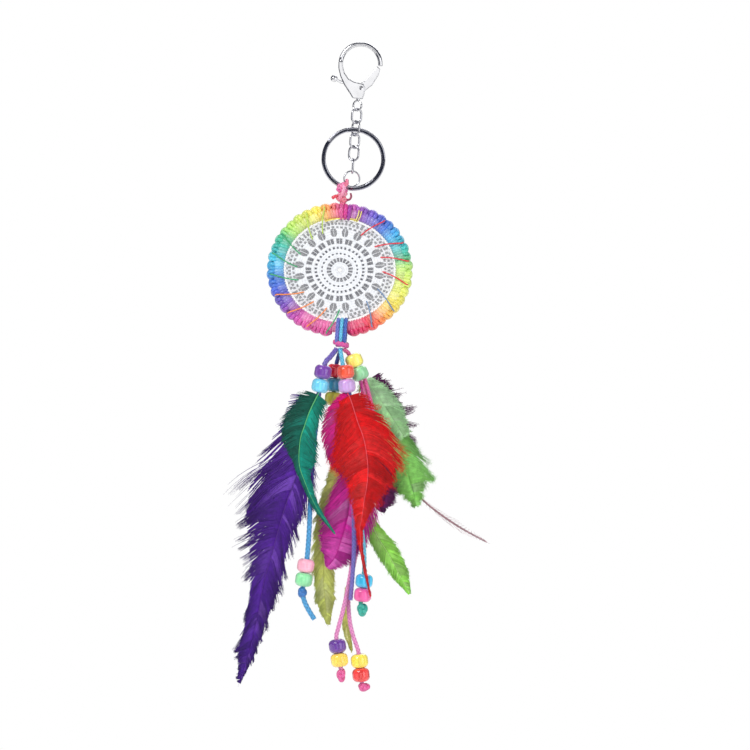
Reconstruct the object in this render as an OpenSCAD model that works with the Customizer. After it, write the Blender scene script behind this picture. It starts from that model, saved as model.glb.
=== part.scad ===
// Dream catcher bag charm: a lobster clasp, a swivel chain with a split ring, a corded hoop with a
// crochet doily laced into it, and four hanging strands of beads and feathers.
// The origin is the middle of the clasp's bow, where it hangs. +Z is up and -Y is the front.
// The clasp and the chain lean a little to one side, because the hoop hangs off their line.

/* [Clasp] */
// How far the clasp and chain lean from plumb, in degrees
lean = 4.3; // [3.8:0.1:4.8]
// Outer radius of the clasp's bow
bow_r = 11.05; // [10.9:0.05:11.2]
// Thickness of the bow's wire
bow_wire = 2.3; // [2.1:0.1:2.5]
// Thickness of the clasp's body, front to back
clasp_t = 4.8; // [4.6:0.1:5.2]
// Thickness of the gate, front to back
gate_t = 2; // [1.8:0.1:2]

/* [Chain] */
// Length of a chain link over its outside
link_l = 8.3; // [8.1:0.1:8.5]
// Width of a chain link over its outside
link_w = 6.3; // [6.2:0.1:6.5]
// Thickness of the chain's wire
link_wire = 1; // [0.9:0.05:1]
// Outer diameter of the split ring
split_d = 32; // [31:0.5:32.5]
// Width of the split ring's flat wire
split_band = 2.1; // [1.9:0.1:2.2]
// Middle diameter of the jump ring
jump_d = 7.8; // [7.6:0.1:8]

/* [Hoop] */
// Radius of the hoop's core, across
hoop_r = 30.8; // [30.6:0.1:31]
// Height of the hoop as a share of its width
hoop_squash = 0.927; // [0.92:0.001:0.94]
// Thickness of the hoop with its cord wound on
wrap_d = 5.9; // [5.7:0.1:6]
// Thickness of the hoop's bare core
core_d = 3.2; // [3:0.1:3.4]
// Number of hitches round the rim
hitches = 44; // [40:2:46]

/* [Beads] */
// Outer diameter of a pony bead
bead_d = 8.6; // [8.4:0.1:8.8]
// Height of a pony bead
bead_h = 6.9; // [6.7:0.1:6.9]
// Bore of a pony bead
bead_bore = 4.8; // [4.7:0.1:4.9]

/* [Cords and feathers] */
// Thickness of the hanging cords
cord_d = 2.2; // [2:0.1:2.2]
// Thickness of the left strand's cord, which is the stoutest
left_cord_d = 2.6; // [2.4:0.1:2.6]
// Thickness of a feather's vane, which is much thicker than a real one
feather_t = 0.4; // [0.3:0.05:0.4]

/* [Hidden] */
$fn = 48;
fine = 0.06;                 // play between two links of wire
bow_mid = bow_r - bow_wire / 2;
pivot = [1.2, 0, -12];       // the gate's pin
pin_r = 0.6;
pin_play = 0.05;
slot_t = gate_t + 0.2;       // the pocket that the gate and its lever swing in
gate_reach = 13.5;           // from the pin to the gate's tip
hub_r = 2.3;
neck_z = -17.6;              // the clasp's lowest face
pocket_z = -15.4;            // the pocket's floor, which the swivel's head rests on
shank_r = 0.8;
head_r = 1.05;

eye_z = -20.9;
eye_r = 2.5;
eye_wire = 0.9;
jump_wire = 0.8;
end_r = (link_w - link_wire) / 2;             // middle radius of a link's round end
link_half = (link_l - link_wire) / 2;         // from a link's middle to its end wire's middle
link_straight = link_half - end_r;
first_link_z = eye_z - eye_r + (eye_wire + link_wire) / 2 + fine - link_half;
link_pitch = 2 * link_half - link_wire - fine;
link_twist = [30, -50, 35, -27, 90];          // each link stands across its neighbours
eye_twist = -35;
jump_twist = 10;
last_link_z = first_link_z - 4 * link_pitch;
jump_z = last_link_z - link_half + (link_wire + jump_wire) / 2 + fine - jump_d / 2;
split_top_z = -32.9;                          // where the split ring's wire crosses the second link
split_mid = (split_d - split_band) / 2;
split_tilt = 13;                              // it lies back against the chain
coil_t = 1.05;

hoop_c = [-10.35, 0, -103];
wrap_out = hoop_r + wrap_d / 2;
hitch_r = 1.9;
hitch_sink = 1.05;                            // how far a hitch sits down into the winding
doily_gap = 0.4;
doily_r = hoop_r - wrap_d / 2 - doily_gap;
doily_t = 0.8;
thread_d = 0.6;
thread_angles = [50, 25, 8, -13, -39, -62, -101, -118, -138, -157, -176, -195, -214, -241, -257];
knot_top = [-9.25, 0, -66.8];
loop_d = 1.6;
loop_r = 1.9;
tie_x = -9.5;                                 // the cord ties at the foot of the hoop
tie_d = 1.9;
band_z = -139.9;                              // the band under the ties that holds the strands
band_h = 3.2;
band_r = 4.1;

bead_pitch = bead_h + 0.1;
bead_shoulder = 2.4;
knot_r = 2.5;
knot_gap = 0.15;                              // from a column's last bead to its knot
least_width = 0.2;                            // of a feather's vane, at its tip
// Each column of beads: its first bead's middle, and how far it leans towards +X going down
left_upper = [[-18.7, -4.5, -154], -11];
centre_upper = [[-7.4, -5, -153.9], 5];
back_upper = [[-12.4, 4.6, -153.4], -5];
right_upper = [[-3.15, 2, -148.3], 23];
left_lower = [[-27.3, -3, -250.7], -8];
centre_lower = [[1.8, -2, -258.4], -6];
pink_a_lower = [[-11.5, -1, -291], 8];
pink_b_lower = [[-0.5, 1.5, -298.6], 6];

// The cords' routes, from the tie or bead that each one leaves, down to its end
left_route = [
    [-12.4, -0.5, -143.1], [-15, -2.8, -146.4], [-18, -4.5, -150.6], [-20.7, -4.5, -164.3],
    [-21.9, -3.8, -177], [-23.3, -3.2, -191], [-24.4, -3, -205], [-25.1, -3, -219],
    [-25.6, -3, -233], [-26.7, -3, -247.2], [-28.7, -3, -261], [-29, -3, -264],
    [-28, -3, -268.5], [-25.8, -3, -273], [-23, -3, -277.5],
];
centre_route = [
    [-10, -1.1, -143.1], [-9.5, -3, -146.4], [-8.8, -5, -150.6], [-7.6, -5, -164.4],
    [-6.4, -4.8, -176], [-5, -4.5, -190], [-3.2, -4.2, -205], [-1.2, -3.6, -220],
    [0.8, -2.6, -234], [1.9, -2, -245], [1.7, -2, -255], [0.2, -2, -268.7], [0, -2, -271.6],
];
violet_route = [
    [-5.7, -5, -160.8], [-5.4, -4.7, -165.5], [-4.2, -2.5, -176], [-3.8, -1.7, -190],
    [-3.6, -1.5, -205], [-3.5, -1.5, -220], [-3.3, -1.5, -234], [-3.5, -1.6, -248],
    [-4.2, -1.6, -259], [-5, -1.6, -268],
];
back_route = [
    [-10, 1.4, -143.1], [-11.1, 3.3, -146.4], [-12.1, 4.6, -150], [-13.9, 4.6, -170.8],
    [-14.1, 4.6, -173.4],
];
pink_a_route = [
    [-7.8, 0, -143.1], [-5.5, 2, -145.6], [-0.1, 2, -158.4], [2.8, 1.9, -170],
    [4.2, 1.7, -182], [4.3, 1.6, -194], [3.2, 1.6, -206], [1.4, 1.6, -218],
    [-0.6, 1.6, -230], [-2.8, 1.6, -242], [-4.9, 1.5, -254], [-6.9, 1, -265],
    [-9.2, 0, -275], [-11.4, -0.8, -283], [-12, -1, -287.6], [-10, -1, -301.3], [-9.6, -1, -304],
];
pink_b_route = [
    [0.6, 2, -154.3], [2, 2, -157.5], [5.3, 2.5, -170], [6.6, 2.9, -182],
    [6.6, 3.3, -194], [5.2, 3.7, -206], [3.2, 3.9, -218], [1, 4, -230],
    [-1.6, 4, -242], [-4, 3.9, -254], [-6, 3.5, -266], [-5.6, 2.6, -277],
    [-4, 1.9, -285], [-1.8, 1.5, -291.5], [-0.9, 1.5, -295.2], [0.6, 1.5, -309], [0.9, 1.5, -311.6],
];

// Each feather: its layer in Y, then stations down its shaft as [x, z, width to the left, width
// to the right], where left is -X for a feather that points down
teal_vane = [-6.6, [
    [-20.7, -164.6, 0.5, 0.5], [-22.6, -168, 6, 3.5], [-25.5, -174, 8.5, 6], [-27.9, -181, 10.5, 6],
    [-30, -188, 9.5, 8], [-30.5, -199, 3, 8.5], [-28, -208, 2, 4.5], [-22, -221.5, 1.6, 1.6],
    [-12, -235.5, 0.2, 0.2],
]];
violet_vane = [-6.05, [
    [-20.7, -164.6, 0.5, 0.5], [-24.5, -175, 15, 2], [-28, -190, 20, 3], [-32, -205, 26, 9],
    [-37, -220, 28, 12], [-41, -234, 22, 8], [-45, -248, 14, 9], [-48, -258, 9, 9],
    [-51, -275, 7, 2.5], [-56, -295, 8, 2], [-61, -311, 0.3, 0.3],
]];
red_vane = [-7.05, [
    [-6.5, -164.6, 0.5, 0.5], [-4.8, -168, 4, 6], [-1.5, -179, 9, 13], [1.8, -188, 16, 17],
    [3.8, -200, 20, 16], [3.2, -210, 11, 11], [1.8, -218, 7, 6], [-0.2, -233, 3, 1.5],
    [0.8, -245, 1, 1], [2.8, -256, 0.8, 0.8], [5.3, -267.5, 0.2, 0.2],
]];
magenta_upper_vane = [-6.5, [
    [-6.5, -164.6, 0.5, 0.5], [-9, -170, 2.5, 5], [-11.3, -178, 7, 8], [-12, -187, 7, 9],
    [-9.8, -198, 5, 8], [-5.3, -210, 0.3, 0.3],
]];
magenta_lower_vane = [0.2, [
    [1, -158.5, 0.4, 0.4], [-1, -180, 0.5, 0.5], [-3.4, -205, 3, 4], [-4.6, -215, 6.5, 12],
    [-6.4, -226, 9.5, 13], [-9.4, -238, 10, 11], [-13, -247, 6.5, 6], [-17.8, -252.5, 0.3, 0.3],
]];
olive_vane = [3.6, [
    [0.6, -158.8, 0.4, 0.4], [-5, -182, 0.5, 0.5], [-12.5, -205, 2.5, 2.5], [-17, -228, 5.5, 5],
    [-18.6, -250, 5, 5.5], [-17.8, -268, 5.5, 4.5], [-15.8, -282, 0.3, 0.3],
]];
olive_small_vane = [6.2, [
    [1.4, -158.6, 0.4, 0.4], [-1, -200, 0.4, 0.4], [-5, -245, 0.5, 0.5], [-7.4, -270, 1.4, 1.4],
    [-6.6, -284, 2.4, 2.4], [-3.8, -296, 0.3, 0.3],
]];
lime_vane = [5.4, [
    [1.5, -158.5, 0.4, 0.4], [3, -190, 0.4, 0.4], [4.4, -222, 0.5, 0.5], [7.5, -234, 3, 3],
    [13.8, -244.5, 4, 5], [19.8, -255.5, 3, 4.5], [25.3, -266.5, 0.3, 0.3],
]];
green_upper_vane = [5.9, [
    [1.9, -158.2, 0.5, 0.5], [6, -163, 4, 5], [11, -170, 7, 9], [17, -179, 7, 8], [22, -187, 0.4, 0.4],
]];
green_lower_vane = [6.4, [
    [2.2, -158.2, 0.5, 0.5], [10, -175, 2, 2], [17.8, -188, 8, 8], [21.8, -199, 10, 11],
    [24.8, -209, 8, 11], [27, -216, 5, 5], [28.4, -222, 0.4, 0.4],
]];
plum_vane = [6.9, [
    [2.4, -158, 0.5, 0.5], [8, -165, 5, 7], [13, -173, 8, 10], [17, -183, 9, 8], [16, -198, 9, 8],
    [12.8, -213, 6, 5], [9.8, -225, 0.4, 0.4],
]];
mauve_vane = [7.4, [
    [2.6, -158.2, 0.4, 0.4], [10, -180, 0.4, 0.4], [20, -204, 0.5, 0.5], [31, -218, 0.8, 0.8],
    [47.5, -230, 3, 3], [64.8, -240, 0.3, 0.3],
]];

// ---- functions ----

// The way down a column of beads that leans this far
function down(tilt) = [sin(tilt), 0, -cos(tilt)];
// The middle of bead number k in a column, where 0 is the first
function bead_at(column, k) = column[0] + k * bead_pitch * down(column[1]);
// The middle of the knot under a column's last bead
function knot_at(column, last) =
    bead_at(column, last) + (bead_h / 2 + knot_r + knot_gap) * down(column[1]);

// A ring of points round a cord, square to the way that it runs there
function cord_ring(at, way, r, sides) =
    let (
        w = way / norm(way),
        u = cross(w, [0, 1, 0]) / norm(cross(w, [0, 1, 0])),
        v = cross(w, u)
    )
    [for (i = [0 : sides - 1]) at + r * (cos(360 * i / sides) * u + sin(360 * i / sides) * v)];

// The way that a route runs at its point number i
function route_way(route, i) =
    let (n = len(route) - 1)
    i == 0 ? route[1] - route[0]
    : i == n ? route[n] - route[n - 1]
    : (route[i + 1] - route[i]) / norm(route[i + 1] - route[i])
        + (route[i] - route[i - 1]) / norm(route[i] - route[i - 1]);

// A smooth value between stations b and c, where a and d are their neighbours
function smooth(a, b, c, d, t) =
    0.5 * (2 * b + (c - a) * t + (2 * a - 5 * b + 4 * c - d) * t * t
        + (3 * b - 3 * c + d - a) * t * t * t);

// Stations along a feather, with one more between each pair
function stations(rows) =
    let (n = len(rows) - 1)
    [for (i = [0 : 2 * n])
        let (k = min(floor(i / 2), n - 1), t = i / 2 - k)
        smooth(rows[max(k - 1, 0)], rows[k], rows[k + 1], rows[min(k + 2, n)], t)];

// The edge of a feather's vane on one side of its shaft: -1 is left, 1 is right
function vane_edge(rows, side) =
    [for (i = [0 : len(rows) - 1])
        let (
            ahead = rows[min(i + 1, len(rows) - 1)],
            behind = rows[max(i - 1, 0)],
            run = [ahead[0] - behind[0], ahead[1] - behind[1]],
            way = run / norm(run),
            width = max(least_width, side < 0 ? rows[i][2] : rows[i][3])
        )
        [rows[i][0], rows[i][1]] + side * width * [-way[1], way[0]]];

// ---- shared shapes ----

// Everything from the clasp down to the jump ring leans together
module leaning() {
    rotate([0, lean, 0]) children();
}

// A round wire ring standing in the XZ plane
module wire_ring(r, wire) {
    rotate([90, 0, 0]) rotate_extrude() translate([r, 0]) circle(d = wire);
}

// A slab between two Y values from an XZ outline
module slab(thickness) {
    rotate([90, 0, 0]) linear_extrude(height = thickness, center = true) children();
}

// A round tube along a route
module tube(route, d) {
    sides = 8;
    n = len(route);
    points = [for (i = [0 : n - 1]) each cord_ring(route[i], route_way(route, i), d / 2, sides)];
    walls = [for (i = [0 : n - 2], j = [0 : sides - 1])
        let (a = i * sides + j, b = i * sides + (j + 1) % sides)
        [a, a + sides, b + sides, b]];
    first = [for (j = [0 : sides - 1]) j];
    last = [for (j = [sides - 1 : -1 : 0]) (n - 1) * sides + j];
    polyhedron(points = points, faces = concat([first], walls, [last]));
}

// A pony bead: a bored barrel with round shoulders
module bead(column, k) {
    flat_r = bead_d / 2 - bead_shoulder;
    flat_h = bead_h - 2 * bead_shoulder;
    translate(bead_at(column, k)) rotate([0, -column[1], 0]) difference() {
        rotate_extrude() intersection() {
            union() {
                translate([0, -bead_h / 2]) square([flat_r, bead_h]);
                translate([0, -flat_h / 2]) square([bead_d / 2, flat_h]);
                for (end = [-1, 1])
                    translate([flat_r, end * flat_h / 2]) circle(r = bead_shoulder);
            }
            translate([0, -bead_h / 2]) square([bead_d / 2, bead_h]);
        }
        cylinder(h = bead_h + 2, d = bead_bore, center = true);
    }
}

// An overhand knot under a column's last bead: a round lump and a smaller one beside it
module cord_knot(column, last, second) {
    at = knot_at(column, last);
    translate(at) sphere(r = knot_r);
    translate(at + second) sphere(r = 0.8 * knot_r);
}

// A feather's vane, cut flat, with its shaft down the middle
module feather(vane) {
    rows = stations(vane[1]);
    left = vane_edge(rows, -1);
    right = vane_edge(rows, 1);
    translate([0, vane[0], 0]) slab(feather_t)
        polygon(concat(left, [for (i = [len(right) - 1 : -1 : 0]) right[i]]));
}

// ---- clasp ----

// The pocket inside the clasp: what is open between its front and back walls
module pocket_outline() {
    polygon([
        [-14, -14.6], [-14, -5.4], [-8.6, -6.6], [-5, -6.4], [0, -7.4], [4, -6], [12, -8],
        [8, -14], [4, pocket_z], [-3, pocket_z], [-5, -14.6],
    ]);
}

module clasp_body() {
    color("silver") leaning() difference() {
        union() {
            rotate([90, 0, 0]) rotate([0, 0, -2])
                rotate_extrude(angle = 197) translate([bow_mid, 0]) circle(d = bow_wire);
            slab(clasp_t) polygon([
                [-bow_r, 0.5], [-10.9, -3], [-9.6, -7], [-7.4, -11], [-4.2, -15.2], [-2.6, neck_z],
                [2.4, neck_z], [3, -15], [3.3, -12], [2.4, -10], [0.6, -9.6], [-2.4, -9.2],
                [-5.4, -7.8], [-7.6, -5], [-8.7, -1.6], [-8.75, 0.5],
            ]);
        }
        slab(slot_t) pocket_outline();
        translate([pivot[0], 0, pivot[2]]) rotate([90, 0, 0])
            cylinder(r = pin_r, h = 2 * clasp_t, center = true);
        translate([0, 0, neck_z - 1]) cylinder(r = shank_r + pin_play, h = 4);
    }
}

// The gate and its thumb lever are one piece, which turns on the pin
module clasp_gate() {
    tip = [for (a = [31.5, 36, 41])
        [pivot[0] + gate_reach * sin(a), pivot[2] + gate_reach * cos(a)]];
    arm = [[9.5, -4.8], [6.5, -10.4], [3, -13.5], [pivot[0], pivot[2]], [0.4, -9.9], [3, -8.2]];
    lever = [
        [0, -9.9], [-4, -9], [-8.6, -9.2], [-12.2, -7.8],
        [-12.4, -9], [-8.8, -10.6], [-4, -10.8], [0, -13],
    ];
    spring_room = 1.8;
    color("silver") leaning() difference() {
        union() {
            slab(gate_t) {
                polygon(concat(tip, arm));
                polygon(lever);
                translate([pivot[0], pivot[2]]) circle(r = hub_r);
            }
            translate([-12.6, 0, -8.2]) sphere(d = 3.5);
        }
        translate([pivot[0], 0, pivot[2]]) rotate([90, 0, 0])
            cylinder(r = pin_r + pin_play, h = 2 * gate_t, center = true);
        translate([pivot[0], 0, pivot[2]]) rotate([-90, 0, 0])
            cylinder(r = spring_room, h = gate_t);
    }
}

module gate_pin() {
    color("gray") leaning() translate([pivot[0], 0, pivot[2]]) rotate([90, 0, 0])
        cylinder(r = pin_r, h = clasp_t, center = true);
}

// The coil round the pin that closes the gate, in a recess of the gate's hub
module gate_spring() {
    wire = 0.28;
    coil_r = 1.3;
    first = 0.15 + wire / 2;
    color("dimgray") leaning()
        for (turn = [0 : 2])
            translate([pivot[0], first + 1.05 * wire * turn, pivot[2]]) wire_ring(coil_r, wire);
}

// ---- chain ----

module swivel_eye() {
    color("silver") leaning() {
        translate([0, 0, eye_z]) rotate([0, 0, eye_twist]) wire_ring(eye_r, eye_wire);
        translate([0, 0, eye_z + eye_r]) cylinder(r = shank_r, h = pocket_z + 0.4 - eye_z - eye_r);
        translate([0, 0, pocket_z + 0.1]) cylinder(r = head_r, h = 0.6);
    }
}

module chain_link(k) {
    color("silver") leaning() translate([0, 0, first_link_z - k * link_pitch])
        rotate([0, 0, link_twist[k]]) rotate([90, 0, 0]) {
            for (end = [0, 180])
                rotate([0, 0, end]) translate([0, link_straight, 0])
                    rotate_extrude(angle = 180) translate([end_r, 0]) circle(d = link_wire);
            for (side = [-end_r, end_r])
                translate([side, 0, 0]) rotate([90, 0, 0])
                    cylinder(d = link_wire, h = 2 * link_straight, center = true);
        }
}

// A split ring: two flat coils side by side, joined where one passes to the other
module key_ring() {
    gap = 0.1;
    edge = 0.25;
    w = split_band / 2;
    t = coil_t / 2;
    bridge = [125, 14, 1.2];                  // where the coils join: its angle, how long, how wide
    color("silver") leaning() translate([0, 0, split_top_z]) rotate([split_tilt, 0, 0])
        translate([0, 0, -split_mid]) rotate([90, 0, 0]) {
            for (side = [-1, 1])
                translate([0, 0, side * (coil_t + gap) / 2]) rotate_extrude() translate([split_mid, 0])
                    polygon([
                        [-w, edge - t], [edge - w, -t], [w - edge, -t], [w, edge - t],
                        [w, t - edge], [w - edge, t], [edge - w, t], [-w, t - edge],
                    ]);
            rotate([0, 0, bridge[0]]) rotate_extrude(angle = bridge[1]) translate([split_mid, 0])
                square([bridge[2], coil_t], center = true);
        }
}

module jump_ring() {
    color("silver") leaning() translate([0, 0, jump_z]) rotate([0, 0, jump_twist])
        wire_ring(jump_d / 2, jump_wire);
}

// ---- hoop ----

// A place on the jump ring's wire, low on its left, where the cord loop hangs
function loop_top() =
    let (
        a = 225,
        out = jump_d / 2 * cos(a),
        x = out * cos(jump_twist),
        z = jump_z + jump_d / 2 * sin(a)
    )
    [x * cos(lean) + z * sin(lean), out * sin(jump_twist), z * cos(lean) - x * sin(lean)];

module top_loop() {
    start = loop_top();
    run = knot_top - start;
    turn = atan2(run[0], -run[2]);
    drop = norm([run[0], run[2]]);
    color("hotpink") translate(start) rotate([0, -turn, 0]) rotate([0, 0, 90]) {
        rotate([90, 0, 0]) rotate_extrude(angle = 180) translate([loop_r, 0]) circle(d = loop_d);
        for (side = [-loop_r, loop_r])
            translate([side, 0, -drop]) cylinder(d = loop_d, h = drop);
    }
}

// The knot that ties the loop to the hoop's top
module top_knot() {
    hoop_top = hoop_c[2] + hoop_squash * wrap_out;
    sunk = 0.5;
    color("deeppink") {
        translate(knot_top) sphere(r = 2.9);
        translate([knot_top[0], 0, hoop_top - sunk]) cylinder(r = 1.6, h = knot_top[2] - hoop_top);
    }
}

// Round the hoop: the squashed ring that its core, winding and lace all follow
module hoop_shape() {
    translate(hoop_c) scale([1, 1, hoop_squash]) rotate([90, 0, 0]) children();
}

module hoop_core() {
    color("tan") hoop_shape() rotate_extrude() translate([hoop_r, 0]) circle(d = core_d);
}

// The space-dyed cord wound round the core
module hoop_wrap() {
    color("violet") hoop_shape() rotate_extrude() translate([hoop_r, 0]) difference() {
        circle(d = wrap_d);
        circle(d = core_d + 0.1);
    }
}

// The row of half hitches on the rim, left out where the ties pass
module hitch_knots() {
    tied = 7;
    color("mediumseagreen")
        for (i = [0 : hitches - 1])
            let (a = 360 * (i + 0.5) / hitches, r = hitch_r + wrap_out - hitch_sink)
                if (abs(abs(a - 180) - 90) > tied)
                    translate(hoop_c + r * [cos(a), 0, hoop_squash * sin(a)]) sphere(r = hitch_r, $fn = 24);
}

// The crochet doily: a lace disc with rings of holes, cut as straight-sided shapes
module doily() {
    petals = 16;
    rings = [[6, 0.9], [11.5, 0.9], [16.2, 1.4], [21.4, 1.9]];
    color("white") translate(hoop_c) slab(doily_t) difference() {
        polygon([for (a = [0 : 6 : 354]) doily_r * [cos(a), hoop_squash * sin(a)]]);
        for (k = [0 : len(rings) - 1], i = [0 : petals - 1])
            let (a = 360 * (i + k % 2 / 2) / petals)
                translate(rings[k][0] * [cos(a), hoop_squash * sin(a)])
                    rotate(a) circle(r = rings[k][1], $fn = 6);
        translate([tie_x - hoop_c[0], -hoop_squash * doily_r]) square([7, 5], center = true);
    }
}

// A point on the hoop's face, at this radius and angle and this far forward
function on_hoop(r, a, y) = hoop_c + [r * cos(a), y, hoop_squash * r * sin(a)];

// Coloured threads that lace the doily to the hoop, each crossing the winding's front
module lacing_threads() {
    front = -wrap_d / 2 - 0.4;
    skew = 10;
    color("tomato")
        for (a = thread_angles)
            tube([
                on_hoop(wrap_out + 0.4, a, front),
                on_hoop(hoop_r - wrap_d / 2, a + skew / 2, front),
                on_hoop(22, a + skew, -doily_t / 2 - 0.35),
            ], thread_d);
}

// Three turns of cord round the foot of the hoop, drawn down to the band
module bottom_ties() {
    r = wrap_d / 2 + tie_d / 2 + 0.05;
    foot = hoop_c[2] - hoop_squash * hoop_r;
    drop = 4.1;
    color("royalblue")
        for (turn = [-1 : 1])
            translate([tie_x + turn * (tie_d + 0.05), 0, foot]) rotate([0, 0, 90]) rotate([90, 0, 0]) {
                rotate_extrude(angle = 180) translate([r, 0]) circle(d = tie_d);
                translate([0, -drop, 0]) rotate([0, 0, 180])
                    rotate_extrude(angle = 180) translate([r, 0]) circle(d = tie_d);
                for (side = [-r, r])
                    translate([side, 0, 0]) rotate([90, 0, 0]) cylinder(d = tie_d, h = drop);
            }
}

// The band of cord under the ties
module bottom_band() {
    color("mediumvioletred") translate([tie_x - 0.3, 0, band_z]) rotate_extrude() {
        translate([0, -band_h / 2]) square([band_r - band_h / 2, band_h]);
        intersection() {
            translate([band_r - band_h / 2, 0]) circle(d = band_h);
            translate([0, -band_h / 2]) square([band_r, band_h]);
        }
    }
}

// ---- what is drawn ----

clasp_body();
clasp_gate();
gate_pin();
gate_spring();
swivel_eye();
chain_link(0);  // chain_link_1
chain_link(1);  // chain_link_2
chain_link(2);  // chain_link_3
chain_link(3);  // chain_link_4
chain_link(4);  // chain_link_5
key_ring();
jump_ring();
top_loop();
top_knot();
hoop_core();
hoop_wrap();
hitch_knots();
doily();
lacing_threads();
bottom_ties();
bottom_band();
color("dodgerblue") tube(left_route, left_cord_d);  // left_cord
color("deepskyblue") tube(centre_route, cord_d);  // centre_cord
color("mediumpurple") tube(violet_route, cord_d);  // violet_cord
color("navy") tube(back_route, cord_d);  // back_cord
color("hotpink") tube(pink_a_route, cord_d);  // pink_cord_a
color("hotpink") tube(pink_b_route, cord_d);  // pink_cord_b
color("rebeccapurple") bead(left_upper, 0);  // bead_left_purple
color("deepskyblue") bead(left_upper, 1);  // bead_left_sky
color("pink") bead(left_lower, 0);  // bead_left_pink
color("lightgreen") bead(left_lower, 1);  // bead_left_mint
color("orangered") bead(centre_upper, 0);  // bead_centre_orange
color("plum") bead(centre_upper, 1);  // bead_centre_lilac
color("deepskyblue") bead(centre_lower, 0);  // bead_centre_blue
color("deeppink") bead(centre_lower, 1);  // bead_centre_magenta
color("crimson") bead(back_upper, 0);  // bead_back_red
color("steelblue") bead(back_upper, 1);  // bead_back_teal
color("goldenrod") bead(back_upper, 2);  // bead_back_olive
color("gold") bead(right_upper, 0);  // bead_right_yellow
color("mediumseagreen") bead(right_upper, 1);  // bead_right_green
color("rebeccapurple") bead(pink_a_lower, 0);  // bead_a_purple
color("gold") bead(pink_a_lower, 1);  // bead_a_yellow
color("gold") bead(pink_b_lower, 0);  // bead_b_yellow
color("tomato") bead(pink_b_lower, 1);  // bead_b_red
color("dodgerblue") cord_knot(left_lower, 1, [0.6, 0, -1.4]);  // left_knot
color("turquoise") cord_knot(centre_lower, 1, [1.5, 0, -3]);  // centre_knot
color("navy") cord_knot(back_upper, 2, [0.4, 0, -1.2]);  // back_knot
color("hotpink") cord_knot(pink_a_lower, 1, [0.4, 0, -3.4]);  // knot_a
color("hotpink") cord_knot(pink_b_lower, 1, [2.2, 0, -0.4]);  // knot_b
color("indigo") feather(violet_vane);  // feather_violet
color("teal") feather(teal_vane);  // feather_teal
color("red") feather(red_vane);  // feather_red
color("mediumvioletred") feather(magenta_upper_vane);  // feather_magenta_upper
color("mediumvioletred") feather(magenta_lower_vane);  // feather_magenta_lower
color("yellowgreen") {  // feather_olive
    feather(olive_vane);
    feather(olive_small_vane);
}
color("lightgreen") feather(green_upper_vane);  // feather_green_upper
color("limegreen") feather(green_lower_vane);  // feather_green_lower
color("purple") feather(plum_vane);  // feather_plum
color("yellowgreen") feather(lime_vane);  // feather_lime
color("rosybrown") feather(mauve_vane);  // feather_mauve
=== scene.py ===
"""Dream catcher bag charm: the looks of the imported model, in metres, in the model's own frame."""
import math

import bmesh
import bpy
import numpy as np
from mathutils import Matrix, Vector


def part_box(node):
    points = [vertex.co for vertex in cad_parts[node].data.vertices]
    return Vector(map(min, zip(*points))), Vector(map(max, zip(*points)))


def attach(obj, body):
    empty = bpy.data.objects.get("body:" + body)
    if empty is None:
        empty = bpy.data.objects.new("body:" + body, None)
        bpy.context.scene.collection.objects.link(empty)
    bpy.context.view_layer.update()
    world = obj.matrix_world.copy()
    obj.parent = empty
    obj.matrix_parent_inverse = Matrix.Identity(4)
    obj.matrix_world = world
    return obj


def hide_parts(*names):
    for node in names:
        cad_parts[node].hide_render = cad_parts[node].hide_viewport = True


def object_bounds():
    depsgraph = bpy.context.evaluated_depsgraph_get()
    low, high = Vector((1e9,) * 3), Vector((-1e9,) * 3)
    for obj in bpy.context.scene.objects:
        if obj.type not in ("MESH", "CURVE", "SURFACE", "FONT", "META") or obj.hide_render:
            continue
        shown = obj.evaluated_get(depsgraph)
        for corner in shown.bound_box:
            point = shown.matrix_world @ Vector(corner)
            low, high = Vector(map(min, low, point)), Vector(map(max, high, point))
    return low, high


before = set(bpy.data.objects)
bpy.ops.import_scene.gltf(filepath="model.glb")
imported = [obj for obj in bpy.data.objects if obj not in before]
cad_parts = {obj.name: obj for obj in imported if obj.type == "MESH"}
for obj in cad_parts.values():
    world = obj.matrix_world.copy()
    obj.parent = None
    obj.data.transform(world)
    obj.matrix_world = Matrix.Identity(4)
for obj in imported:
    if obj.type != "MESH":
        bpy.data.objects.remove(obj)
cad_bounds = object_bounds()

MM = 0.001
FRONT = np.array([0.0, -1.0, 0.0])
ACROSS = np.array([1.0, 0.0, 0.0])
UP = np.array([0.0, 0.0, 1.0])

# Sizes that part.scad sets, in millimetres
HOOP_MIDDLE = np.array([-10.35, 0.0, -103.0])
HOOP_R = 30.8
SQUASH = 0.927
WRAP_R = 2.95
WRAP_OUT = HOOP_R + WRAP_R
HOOP_TOP = HOOP_MIDDLE[2] + SQUASH * WRAP_OUT
CORD_D = 2.2
LEFT_CORD_D = 2.6
TIE_D = 1.9
HITCHES = 44


# ---- camera ----

def add_camera():
    """A long lens in front of the charm, a little below its middle."""
    lens = 200.0
    view_width = 0.375
    aim = Vector((0.00725, 0.0, -0.1555))
    data = bpy.data.cameras.new("camera")
    data.lens = lens
    data.sensor_width = 36.0
    data.clip_end = 20.0
    camera = bpy.data.objects.new("camera", data)
    camera.location = aim - Vector((0.0, lens / data.sensor_width * view_width, 0.0))
    camera.rotation_euler = (math.radians(90), 0.0, 0.0)
    bpy.context.scene.collection.objects.link(camera)
    bpy.context.scene.camera = camera


add_camera()


# ---- mesh tools, all in millimetres ----

class Shape:
    """Points, faces and a colour for each point, gathered into one mesh."""

    def __init__(self):
        self.points = []
        self.faces = []
        self.tints = []
        self.count = 0

    def add(self, points, faces, tints):
        points = np.asarray(points, float).reshape(-1, 3)
        self.points.append(points)
        self.tints.append(np.broadcast_to(np.asarray(tints, float), points.shape))
        for group in faces:
            self.faces.extend((np.asarray(group) + self.count).tolist())
        self.count += len(points)


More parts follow.
